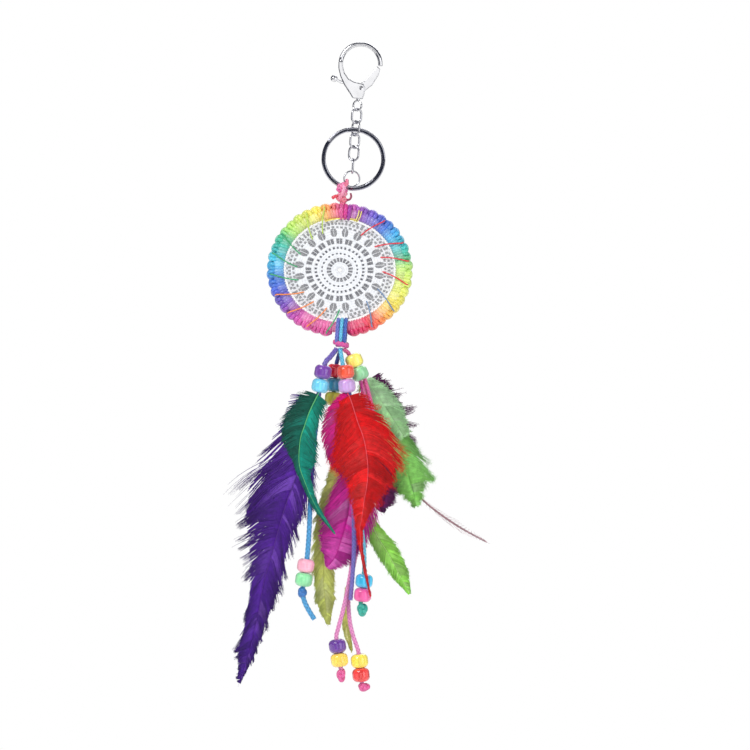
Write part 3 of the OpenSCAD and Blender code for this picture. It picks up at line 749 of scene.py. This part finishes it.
def add_top_loop():
    """The cord that hangs the hoop from the jump ring."""
    low, high = box_corners("top_loop")
    knot = top_knot_place()
    cord_r = 0.85
    crown = np.array([high[0] - 0.8, (low[1] + high[1]) / 2, high[2] - 2.7])
    t = np.linspace(0, math.pi, 14)
    arch = crown + 1.9 * np.stack([0 * t, np.cos(t), np.sin(t)], 1)
    legs = [knot + (0, 1.2, 0), *arch, knot + (0, -1.2, 0)]
    shape = Shape()
    braid(shape, smooth_path(legs, 0.3), 2 * cord_r, [(0, HOT_PINK), (1, SALMON)], ACROSS)
    make_piece("top_loop_cord", shape, "hoop", CORD_LOOK, "hoop_cord", "top_loop")


def add_top_knot():
    """The knot over the hoop: stacked turns, a cord across them, two loose ends, the stub down to
    the rim, and three turns round the winding."""
    knot = top_knot_place()
    maroon, magenta = dye(150, 40, 80), dye(222, 60, 150)
    step = 0.25
    shape = Shape()
    t = np.linspace(0, 2 * math.pi, 60, endpoint=False)
    turns = [(1.3, 1.1, 0.5, dye(242, 130, 176)), (-0.9, 1.4, -0.4, HOT_PINK),
             (-3.2, 1.3, 0.5, dye(248, 150, 176)), (-5.4, 1.5, -0.4, SALMON)]
    for drop, reach, slant, colour in turns:
        path = knot + np.stack([reach * np.cos(t), 0.7 * np.sin(t), drop + slant * np.cos(t)], 1)
        braid(shape, path, 3.1, [(0, colour), (1, colour)], UP, closed=True)
    cross = smooth_path([knot + (-1.2, -1.2, -6.2), knot + (-1.0, -2.3, -4.6), knot + (0.4, -2.8, -2.2),
                         knot + (1.1, -2.2, 0.4), knot + (0.6, -0.8, 2.0)], step)
    braid(shape, cross, 1.9, [(0, SALMON), (1, dye(246, 176, 216))], ACROSS)
    left = smooth_path([knot + (-1.6, -0.8, -3.9), knot + (-3.4, -1.2, -4.0),
                        knot + (-5.0, -1.2, -5.0)], step)
    braid(shape, left, 1.7, [(0, dye(240, 90, 110)), (1, dye(232, 50, 70))], FRONT)
    right = smooth_path([knot + (1.4, -0.8, -5.8), knot + (3.6, -1.1, -5.6), knot + (4.6, -1.1, -4.2),
                         knot + (4.3, -1.0, -2.4)], step)
    sweep(shape, right, np.linspace(0.65, 0.45, len(right)), 12, FRONT, np.array(maroon))
    stub = smooth_path([knot + (0, 0, -5.5), (knot[0] + 0.6, 0, HOOP_TOP - 0.4)], step)
    braid(shape, stub, 3.0, [(0, SALMON), (1, HOT_PINK)], ACROSS)
    reach = WRAP_R + 0.5
    for degrees, colour in ((88.4, HOT_PINK), (84.7, magenta), (81.2, dye(170, 60, 170))):
        wrap = on_hoop(math.radians(degrees), HOOP_R + 0.7 + reach * np.cos(t), reach * np.sin(t))
        braid(shape, wrap, 2.1, [(0, colour), (1, colour)], ACROSS, closed=True)
    make_piece("top_knot_tied", shape, "hoop", CORD_LOOK, "hoop_cord", "top_knot")


add_winding()
add_hitches()
add_lacing()
add_doily()
add_ties()
add_band()
add_top_loop()
add_top_knot()


# ---- feathers ----

class Shaft:
    """A feather's shaft, and its vane's width on each side, along it from 0 to 1."""

    def __init__(self, node, stations, depth):
        low, high = box_corners(node)
        rows = [(low[0] + x * (high[0] - low[0]), low[1] + depth * (high[1] - low[1]),
                 low[2] + z * (high[2] - low[2])) for x, z, _, _ in stations]
        self.line = smooth_path(rows, 0.5)
        self.length = path_length(self.line)
        run = np.concatenate([[0], np.cumsum(np.linalg.norm(np.diff(np.array(rows), axis=0), axis=1))])
        self.at = run / run[-1]
        self.widths = {-1: [row[2] for row in stations], 1: [row[3] for row in stations]}
        self.place = np.linspace(0, 1, len(self.line))
        self.ahead = unit(np.gradient(self.line, axis=0))

    def point(self, t):
        return np.stack([np.interp(t, self.place, self.line[:, axis]) for axis in range(3)], -1)

    def outward(self, t, side):
        """Square to the shaft, in the vane's plane. A feather that points down has -X on its left."""
        ahead = np.stack([np.interp(t, self.place, self.ahead[:, axis]) for axis in range(3)], -1)
        return side * unit(np.cross(FRONT, ahead))

    def width(self, t, side):
        return np.interp(t, self.at, self.widths[side])

    def leaning(self, root, side, slant):
        """Where barbs with these roots end along the shaft. They lean more towards its tip."""
        slant = slant * (0.15 + 0.85 * np.clip((root - root[0]) / 0.1, 0, 1)) * (0.8 + 0.6 * root)
        end = np.minimum(root + slant * self.width(root, side) / self.length, 1)
        return np.minimum(root + slant * self.width(end, side) / self.length, 1)


class Plume:
    """How one feather's barbs look. slant is how far they lean to the tip, fluff how loose they
    wave, ragged how much the clumps differ in length, gather how far a clump's tips draw together,
    fuzz the hairs' length, tips the shade at the barbs' ends, and under how far the down behind
    the barbs reaches."""

    def __init__(self, colours, streak, slant=1.0, fluff=0.3, ragged=0.2, gather=0.4, fuzz=0.5,
                 tips=0.9, under=0.78, spacing=0.26, barb_r=0.17, shaft_r=0.26, rib=None, cup=1.0,
                 shades=(1.0, 1.0)):
        self.colours = [np.array(colour) for colour in colours]
        self.streak = np.array(streak)
        self.slant, self.fluff, self.ragged, self.gather = slant, fluff, ragged, gather
        self.fuzz, self.tips, self.under = fuzz, tips, under
        self.spacing, self.barb_r, self.shaft_r, self.cup = spacing, barb_r, shaft_r, cup
        self.rib = self.colours[1] if rib is None else np.array(rib)
        # shades scale a whole side of the vane: painted shade on a side below 1, painted light on a side
        # above 1.
        self.shades = {-1: shades[0], 1: shades[1]}

    def colour(self, root):
        base, middle, tip = self.colours
        mix = root[:, None]
        return np.where(mix < 0.5, base + (middle - base) * 2 * mix, middle + (tip - middle) * (2 * mix - 1))


def lay_barbs(shaft, side, root, end, reach, lift, swing):
    """Rows of points from the shaft out to each barb's tip."""
    q = np.linspace(0, 1, lift.shape[1])[None]
    t = root[:, None] + (end - root)[:, None] * q**1.25
    out = reach[:, None] * q**0.88
    return (shaft.point(t) + out[..., None] * shaft.outward(t, side)
            + swing[..., None] * shaft.ahead[[0]] - lift[..., None] * FRONT)


def add_down(shape, shaft, side, look, start, random):
    """The soft underlayer close behind the barbs, which fills the gaps between their clumps. It is painted
    darker than the barbs: painted shade in those gaps.
    """
    steps = 7
    count = int(shaft.length * (1 - start) / 0.42)
    root = np.linspace(start, 0.97, count)
    end = shaft.leaning(root, side, look.slant)
    reach = shaft.width(end, side) * look.under * (1 + 0.07 * random.standard_normal(count))
    q = np.linspace(0, 1, steps)[None]
    lift = 0.3 + look.cup * (reach[:, None] * q / 14.0) ** 2 * 1.5
    path = lay_barbs(shaft, side, root, end, reach, lift, 0 * lift)
    width = 0.42 * (1 - 0.6 * q**2) * np.ones((count, 1))
    # Painted shade: the down is darkened to 0.72 to 0.84, and to its side's painted shade or light.
    shade = look.shades[side] * (0.72 + 0.12 * random.random((count, 1)))
    tint = look.colour(root)[:, None] * shade[..., None]
    sweep(shape, path, width, 4, FRONT, tint * np.ones((1, steps, 1)), flat=0.25)


def add_barbs(shape, shaft, side, look, start, random):
    """Barbs in clumps, each clump a lock that draws to a point, with hairs on the barbs."""
    steps = 9
    q = np.linspace(0, 1, steps)[None]
    count = int(shaft.length * (1 - start) / look.spacing)
    root = np.linspace(start, 0.985, count)
    clump = np.cumsum(random.random(count) < 0.07)
    clumps = clump[-1] + 1
    end = shaft.leaning(root, side, look.slant)
    centre = np.bincount(clump, end, clumps) / np.maximum(np.bincount(clump, minlength=clumps), 1)
    end = end + look.gather * (centre[clump] - end)
    wide = np.maximum(shaft.width(end, side), 0.5)
    reach = wide * (1 - look.ragged * random.random(clumps) ** 1.4)[clump]
    reach = reach * (1 + 0.05 * random.standard_normal(count) + 0.14 * (random.random(count) < 0.05))
    wave = 6.28 * random.random((count, 1))
    clump_wave = (6.28 * random.random(clumps))[clump][:, None]
    fluff = look.fluff * np.minimum(wide, 6)[:, None] / 4
    swing = fluff * q**1.6 * (0.5 * np.sin(5 * q + wave) + 0.9 * np.sin(3.2 * q + clump_wave))
    curl = 0.3 * min(look.fluff, 1) * q**1.5 * np.sin(4 * q + 2 * wave)
    lift = 0.08 * random.standard_normal((count, 1)) * q + curl
    lift = lift + look.cup * ((reach[:, None] * q / 14.0) ** 2 * 1.5 + 0.25 * np.sin(clump_wave) * q)
    path = lay_barbs(shaft, side, root, end, reach, lift, swing)
    width = look.barb_r * (1 - 0.78 * q**2) * (0.8 + 0.4 * random.random((count, 1)))
    streaked = (random.random(clumps) ** 3)[clump][:, None, None] * (1 - q**2)[..., None]
    colour = look.colour(root)[:, None]
    colour = colour + 0.8 * streaked * (look.streak - colour)
    shade = (0.70 + 0.46 * random.random(clumps))[clump] * (0.88 + 0.24 * random.random(count))
    tint = colour * (look.shades[side] * shade[:, None] * (1 + (look.tips - 1) * q**1.5))[..., None]
    sweep(shape, path, width, 4, FRONT, tint, flat=0.4)
    add_hairs(shape, path, tint, look.fuzz * np.minimum(wide / 3, 1), random)


def add_hairs(shape, paths, tints, lengths, random):
    """Fine hairs on both sides of each barb, slanting to its tip, with one length for each barb."""
    count, steps, _ = paths.shape
    each = 2 * steps
    where = np.sort(random.random((count, each)), 1) * (steps - 1.001)
    low = where.astype(int)
    part = (where - low)[..., None]
    row = np.arange(count)[:, None]
    root = paths[row, low] * (1 - part) + paths[row, low + 1] * part
    ahead = unit(paths[row, low + 1] - paths[row, low])
    side = np.where(random.random((count, each, 1)) < 0.5, -1, 1)
    out = side * np.cross(ahead, FRONT) + 0.35 * random.standard_normal((count, each, 1)) * FRONT
    reach = lengths[:, None, None] * (0.5 + random.random((count, each, 1)))
    tip = root + reach * unit(out + 0.9 * ahead)
    half = 0.06 * ahead
    points = np.stack([root - half, root + half, tip], 2).reshape(-1, 3)
    colours = np.repeat((tints[row, low] * 1.05).reshape(-1, 3), 3, 0)
    shape.add(points, [np.arange(len(points)).reshape(-1, 3)], colours)


def grow(shape, look, seed, node, stations, depth=0.5, start=0.02):
    """A feather on a shaft through the stations, as (x share, z share, left mm, right mm) of the
    node's box, with its vane starting part of the way down."""
    random = np.random.default_rng(seed)
    shaft = Shaft(node, stations, depth)
    for side in (-1, 1):
        add_down(shape, shaft, side, look, start, random)
        add_barbs(shape, shaft, side, look, start, random)
    t = np.linspace(0, 1, len(shaft.line))
    thin = look.shaft_r * (1 - 0.9 * t)
    sweep(shape, shaft.line + FRONT * 0.1, thin, 8, FRONT, look.rib)


def add_feather(name, dyed, body, look, seed, stations, **where):
    """A feather in place of the CAD one of its name."""
    shape = Shape()
    grow(shape, look, seed, f"feather_{name}", stations, **where)
    make_piece(f"plume_{name}", shape, body, PLUME_LOOK, f"feather_{dyed}", f"feather_{name}")


def add_left_feathers():
    violet = Plume([dye(84, 28, 152), dye(80, 28, 148), dye(66, 22, 132)], dye(118, 76, 178),
                   slant=1.25, fluff=0.8, ragged=0.42, gather=0.7, fuzz=0.7, tips=0.4, under=0.66,
                   rib=dye(90, 50, 140))
    add_feather(
        "violet", "violet", "strand_left", violet, 1,
        [(0.99, 1.00, 19, 1), (0.90, 0.93, 18, 2), (0.82, 0.83, 22, 3), (0.73, 0.72, 28, 13),
         (0.61, 0.62, 29, 15), (0.52, 0.53, 24, 11), (0.43, 0.43, 16, 10.5), (0.36, 0.36, 10, 12.5),
         (0.29, 0.25, 8, 8), (0.18, 0.11, 8, 4), (0.06, 0.00, 0.3, 0.3)])
    teal = Plume([dye(0, 112, 92), dye(0, 126, 110), dye(8, 136, 116)], dye(20, 166, 146),
                 slant=1.0, fluff=0.25, ragged=0.13, gather=0.25, fuzz=0.5, tips=0.92, under=0.88,
                 # Painted shade on the teal's left vane and painted light on its right.
                 rib=dye(100, 190, 120), shades=(0.62, 1.15))
    add_feather(
        "teal", "teal", "strand_left", teal, 2,
        [(0.68, 1.00, 6, 5), (0.61, 0.95, 8, 7), (0.50, 0.86, 10.5, 8), (0.42, 0.77, 12.5, 7),
         (0.34, 0.67, 10, 9.5), (0.32, 0.51, 3, 9.5), (0.41, 0.39, 2, 3.5), (0.63, 0.20, 1.6, 1.6),
         (0.99, 0.00, 0.2, 0.2)])


def add_centre_feathers():
    red = Plume([dye(222, 8, 18), dye(218, 6, 18), dye(192, 6, 22)], dye(250, 62, 62),
                slant=0.8, fluff=1.5, ragged=0.34, gather=0.35, fuzz=1.6, tips=1.02, under=0.78, cup=0.1,
                barb_r=0.13, spacing=0.22, rib=dye(232, 84, 96))
    add_feather(
        "red", "red", "strand_centre", red, 3,
        [(0.27, 1.00, 5, 7), (0.32, 0.96, 8, 9), (0.41, 0.86, 15, 16), (0.50, 0.77, 20, 19),
         (0.55, 0.65, 20, 20), (0.54, 0.56, 13, 14), (0.50, 0.48, 8, 8), (0.47, 0.40, 5, 3.5),
         (0.44, 0.33, 2, 1.8), (0.47, 0.22, 0.8, 0.9), (0.53, 0.11, 0.7, 0.7), (0.60, 0.00, 0.2, 0.2)],
        depth=0.1)
    magenta = Plume([dye(226, 16, 124), dye(198, 18, 128), dye(166, 40, 140)], dye(196, 96, 176),
                    slant=0.9, fluff=0.4, ragged=0.12, gather=0.2, fuzz=0.6, under=0.9, cup=1.5)
    add_feather(
        "magenta_upper", "magenta", "strand_centre", magenta, 4,
        [(0.75, 1.00, 2, 2), (0.60, 0.88, 5, 5), (0.47, 0.70, 8, 8), (0.43, 0.51, 8, 9),
         (0.55, 0.26, 6, 8), (0.82, 0.00, 0.3, 0.3)])


def add_right_feathers():
    magenta = Plume([dye(212, 38, 158), dye(212, 38, 156), dye(186, 44, 152)], dye(220, 124, 198),
                    slant=1.1, fluff=0.3, ragged=0.12, gather=0.25, fuzz=0.5, under=0.9)
    add_feather(
        "magenta_lower", "magenta", "strand_right", magenta, 5,
        [(0.75, 1.00, 0.4, 0.4), (0.68, 0.77, 0.5, 0.5), (0.59, 0.51, 6, 8), (0.54, 0.40, 11, 15),
         (0.48, 0.28, 13, 15), (0.36, 0.16, 12, 13), (0.23, 0.06, 8, 8), (0.05, 0.00, 0.3, 0.3)],
        start=0.36)
    mint = Plume([dye(182, 232, 178), dye(172, 226, 166), dye(166, 224, 152)], dye(220, 250, 216),
                 slant=0.7, fluff=1.2, ragged=0.28, gather=0.3, fuzz=1.5, tips=0.92, under=0.8, barb_r=0.14)
    add_feather(
        "green_upper", "mint", "strand_right", mint, 6,
        [(0.02, 0.99, 5, 4), (0.20, 0.83, 6, 7), (0.43, 0.59, 8, 9), (0.70, 0.28, 8, 8),
         (0.92, 0.01, 3, 3)])
    green = Plume([dye(128, 206, 106), dye(142, 220, 112), dye(150, 226, 108)], dye(186, 240, 160),
                  slant=0.85, fluff=1.0, ragged=0.3, gather=0.4, fuzz=1.6, tips=0.52, under=0.72)
    add_feather(
        "green_lower", "green", "strand_right", green, 7,
        [(0.01, 1.00, 0.5, 0.5), (0.25, 0.73, 2, 2), (0.48, 0.53, 8, 9), (0.60, 0.36, 10, 12),
         (0.69, 0.20, 9, 12), (0.75, 0.09, 6, 6), (0.79, 0.00, 1, 1)], start=0.25)
    plum = Plume([dye(88, 22, 82), dye(78, 22, 72), dye(84, 26, 84)], dye(120, 44, 110),
                 slant=0.12, fluff=0.9, ragged=0.45, gather=0.75, fuzz=0.9, under=0.6)
    add_feather(
        "plum", "plum", "strand_right", plum, 8,
        [(0.02, 1.00, 7, 12), (0.26, 0.89, 8, 13), (0.48, 0.77, 10, 13), (0.65, 0.62, 11, 12),
         (0.61, 0.40, 12, 11), (0.47, 0.18, 9, 12), (0.34, 0.00, 1.5, 2.5)])
    lime = Plume([dye(152, 214, 92), dye(156, 222, 92), dye(140, 214, 84)], dye(196, 238, 150),
                 slant=1.0, fluff=0.12, ragged=0.1, gather=0.15, fuzz=0.4, under=0.9, rib=dye(214, 240, 170))
    add_feather(
        "lime", "green", "strand_right", lime, 9,
        [(0.02, 1.00, 0.4, 0.4), (0.08, 0.71, 0.4, 0.4), (0.13, 0.41, 2, 1), (0.26, 0.30, 5, 4),
         (0.52, 0.20, 5.5, 6), (0.76, 0.10, 4, 5), (0.99, 0.00, 0.3, 0.3)], start=0.52)
    mauve = Plume([dye(160, 122, 130), dye(176, 138, 146), dye(190, 160, 168)], dye(210, 186, 192),
                  slant=1.8, fluff=0.5, ragged=0.3, gather=0.2, fuzz=0.4, under=0.1, spacing=2.2,
                  barb_r=0.1, shaft_r=0.4, rib=dye(168, 120, 128))
    add_feather(
        "mauve", "mauve", "strand_right", mauve, 10,
        [(0.01, 1.00, 0.4, 0.4), (0.12, 0.73, 0.4, 0.4), (0.28, 0.44, 0.5, 0.5), (0.46, 0.27, 0.8, 0.8),
         (0.72, 0.12, 3, 3), (1.00, 0.00, 0.3, 0.3)], start=0.5)
    olive = Plume([dye(166, 164, 80), dye(202, 210, 108), dye(200, 210, 110)], dye(222, 226, 160),
                  slant=1.2, fluff=0.3, ragged=0.28, gather=0.4, fuzz=0.6)
    shape = Shape()
    grow(shape, olive, 11, "feather_olive",
         [(0.95, 1.00, 0.4, 0.4), (0.74, 0.83, 0.5, 0.5), (0.44, 0.66, 4, 4), (0.27, 0.50, 6.5, 6),
          (0.21, 0.34, 6, 7), (0.24, 0.20, 5.5, 6), (0.32, 0.10, 0.3, 0.3)], depth=0.07, start=0.32)
    grow(shape, olive, 12, "feather_olive",
         [(0.98, 1.00, 0.4, 0.4), (0.89, 0.70, 0.4, 0.4), (0.74, 0.37, 0.5, 0.5), (0.64, 0.19, 1.4, 1.4),
          (0.67, 0.09, 2.4, 2.4), (0.78, 0.00, 0.3, 0.3)], depth=0.93, start=0.75)
    make_piece("plume_olive", shape, "strand_right", PLUME_LOOK, "feather_olive", "feather_olive")


add_left_feathers()
add_centre_feathers()
add_right_feathers()


# ---- metal parts, and the CAD nodes that stay with a better material ----

def dress(material, *nodes):
    """Give CAD nodes a material in place of their own."""
    for node in nodes:
        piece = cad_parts[node]
        piece.data.materials.clear()
        piece.data.materials.append(material)


def add_castings():
    """The clasp's body and gate, cast and polished."""
    plate = plated("clasp_plate", (0.86, 0.86, 0.88), 0.06, 0.16)
    dress(plate, "swivel_eye")
    make_cast("clasp_cast", "clasp_body", "clasp", plate, "clasp_chrome", grain=0.15, rounds=50)
    make_cast("gate_cast", "clasp_gate", "gate", plate, "clasp_chrome", grain=0.12, rounds=25)


def add_split_ring():
    """Flat wire in two turns that lie against each other. The jog between them and the wire's
    ends are at the upper left."""
    low, high = box_corners("key_ring")
    middle_r, half_width, half_thick = 14.95, 1.05, 0.525
    tilt, lean = math.radians(13), math.radians(4.3)
    axis = np.array([-math.sin(tilt) * math.sin(lean), -math.cos(tilt), -math.sin(tilt) * math.cos(lean)])
    right = unit(np.cross(UP, axis))
    top = np.cross(axis, right)
    jog = math.radians(125)
    turn = np.linspace(0.4, 4 * math.pi - 0.4, 420)[:, None]
    offset = (half_thick + 0.05) * np.clip((turn - 2 * math.pi) / 0.33, -1, 1)
    path = (low + high) / 2 + offset * axis
    path = path + middle_r * (np.cos(jog + turn) * right + np.sin(jog + turn) * top)
    around = np.arange(24) * 2 * math.pi / 24
    corner = 5
    section = (np.abs(np.cos(around) / half_width) ** corner
               + np.abs(np.sin(around) / half_thick) ** corner) ** (-1 / corner)
    shape = Shape()
    sweep(shape, path, section * np.ones((1, len(turn), 1)), 24, axis, np.ones(3))
    make_piece("split_ring_coil", shape, "split_ring",
               plated("ring_plate", (0.5, 0.5, 0.56), 0.07, 0.18), "ring_chrome", "key_ring")


def dress_cad_nodes():
    """The chain, the pin and spring, the cane core and the beads."""
    links = [f"chain_link_{k}" for k in range(1, 6)]
    dress(plated("chain_plate", (0.66, 0.66, 0.7), 0.1, 0.22), "jump_ring", *links)
    dress(plated("pin_steel", (0.42, 0.42, 0.44), 0.28, 0.42), "gate_pin", "gate_spring")
    cane = Nodes("cane")
    cane.colour((0.52, 0.34, 0.16), cane.ranged(cane.noise(300, 4, (1, 1, 0.2)), 0.7, 1.1))
    cane.rough(cane.ranged(cane.noise(600), 0.5, 0.7))
    dress(cane.material, "hoop_core")
    beads = {
        "bead_left_purple": dye(110, 60, 156), "bead_left_sky": dye(110, 204, 238),
        "bead_left_pink": dye(246, 168, 190), "bead_left_mint": dye(140, 224, 162),
        "bead_centre_orange": dye(242, 84, 54), "bead_centre_lilac": dye(198, 158, 220),
        "bead_centre_blue": dye(60, 186, 234), "bead_centre_magenta": dye(236, 88, 160),
        "bead_back_red": dye(222, 34, 54), "bead_back_teal": dye(70, 160, 190),
        "bead_back_olive": dye(224, 216, 70), "bead_right_yellow": dye(250, 236, 112),
        "bead_right_green": dye(144, 212, 158), "bead_a_purple": dye(104, 54, 154),
        "bead_a_yellow": dye(250, 212, 84), "bead_b_yellow": dye(250, 226, 84),
        "bead_b_red": dye(236, 64, 62),
    }
    for node, colour in beads.items():
        dress(pearl(node[5:], colour), node)


add_castings()
add_split_ring()
dress_cad_nodes()


# ---- stage ----

def add_light(name, place, aim, width, height, power):
    """A soft light of so many metres and watts, turned to its aim."""
    data = bpy.data.lights.new(name, "AREA")
    data.shape = "RECTANGLE"
    data.size = width
    data.size_y = height
    data.energy = power
    light = bpy.data.objects.new(name, data)
    light.location = place
    light.rotation_euler = (Vector(aim) - Vector(place)).to_track_quat("-Z", "Y").to_euler()
    bpy.context.scene.collection.objects.link(light)


def add_banded_sky(tree):
    """Bright straight ahead along each axis and dark between them, so that plated edges read."""
    where = tree.nodes.new("ShaderNodeTexCoord")
    size = tree.nodes.new("ShaderNodeVectorMath")
    size.operation = "ABSOLUTE"
    split = tree.nodes.new("ShaderNodeSeparateXYZ")
    tree.links.new(where.outputs["Generated"], size.inputs[0])
    tree.links.new(size.outputs["Vector"], split.inputs["Vector"])
    most = split.outputs["X"]
    for axis in ("Y", "Z"):
        larger = tree.nodes.new("ShaderNodeMath")
        larger.operation = "MAXIMUM"
        tree.links.new(most, larger.inputs[0])
        tree.links.new(split.outputs[axis], larger.inputs[1])
        most = larger.outputs["Value"]
    bands = tree.nodes.new("ShaderNodeValToRGB")
    stops = bands.color_ramp.elements
    stops[0].position, stops[0].color = 0.57, (0.30, 0.30, 0.32, 1)
    stops[1].position, stops[1].color = 0.985, (1, 1, 1, 1)
    for position in (0.70, 0.955):
        stops.new(position).color = (0.03, 0.035, 0.055, 1)
    tree.links.new(most, bands.inputs["Fac"])
    return bands.outputs["Color"]


def add_stage():
    """A white studio with soft lights, and a pale floor well below the charm."""
    low, high = (Vector(corner) for corner in cad_bounds)
    middle = (low + high) / 2
    add_light("key", middle + Vector((-0.7, -0.9, 0.8)), middle, 0.6, 0.6, 9.0)
    add_light("fill", middle + Vector((0.9, -0.9, 0.1)), middle, 0.7, 0.9, 4.0)
    add_light("back", middle + Vector((0.2, 0.9, 0.7)), middle, 0.7, 0.5, 4.0)
    drop = 0.09
    bpy.ops.mesh.primitive_plane_add(size=1, location=(middle.x, middle.y, low.z - drop))
    floor = bpy.context.object
    floor.name = "floor"
    floor.scale = (1.4, 1.2, 1)
    pale = Nodes("pale_floor")
    pale.colour((0.86, 0.86, 0.86), pale.ranged(pale.noise(6), 0.99, 1.0))
    pale.rough(pale.ranged(pale.noise(40), 0.7, 0.8))
    floor.data.materials.append(pale.material)

    world = bpy.data.worlds.new("studio")
    world.use_nodes = True
    bpy.context.scene.world = world
    tree = world.node_tree
    tree.nodes.clear()
    seen = tree.nodes.new("ShaderNodeBackground")
    seen.inputs["Color"].default_value = (1, 1, 1, 1)
    felt = tree.nodes.new("ShaderNodeBackground")
    felt.inputs["Strength"].default_value = 0.85
    mirrored = tree.nodes.new("ShaderNodeBackground")
    mirrored.inputs["Strength"].default_value = 1.1
    tree.links.new(add_banded_sky(tree), mirrored.inputs["Color"])
    ray = tree.nodes.new("ShaderNodeLightPath")
    mix = felt
    for kind, shown in (("Is Glossy Ray", mirrored), ("Is Camera Ray", seen)):
        chosen = tree.nodes.new("ShaderNodeMixShader")
        tree.links.new(ray.outputs[kind], chosen.inputs["Fac"])
        tree.links.new(mix.outputs[0], chosen.inputs[1])
        tree.links.new(shown.outputs[0], chosen.inputs[2])
        mix = chosen
    out = tree.nodes.new("ShaderNodeOutputWorld")
    tree.links.new(mix.outputs["Shader"], out.inputs["Surface"])
    bpy.context.scene.view_settings.view_transform = "Standard"


add_stage()
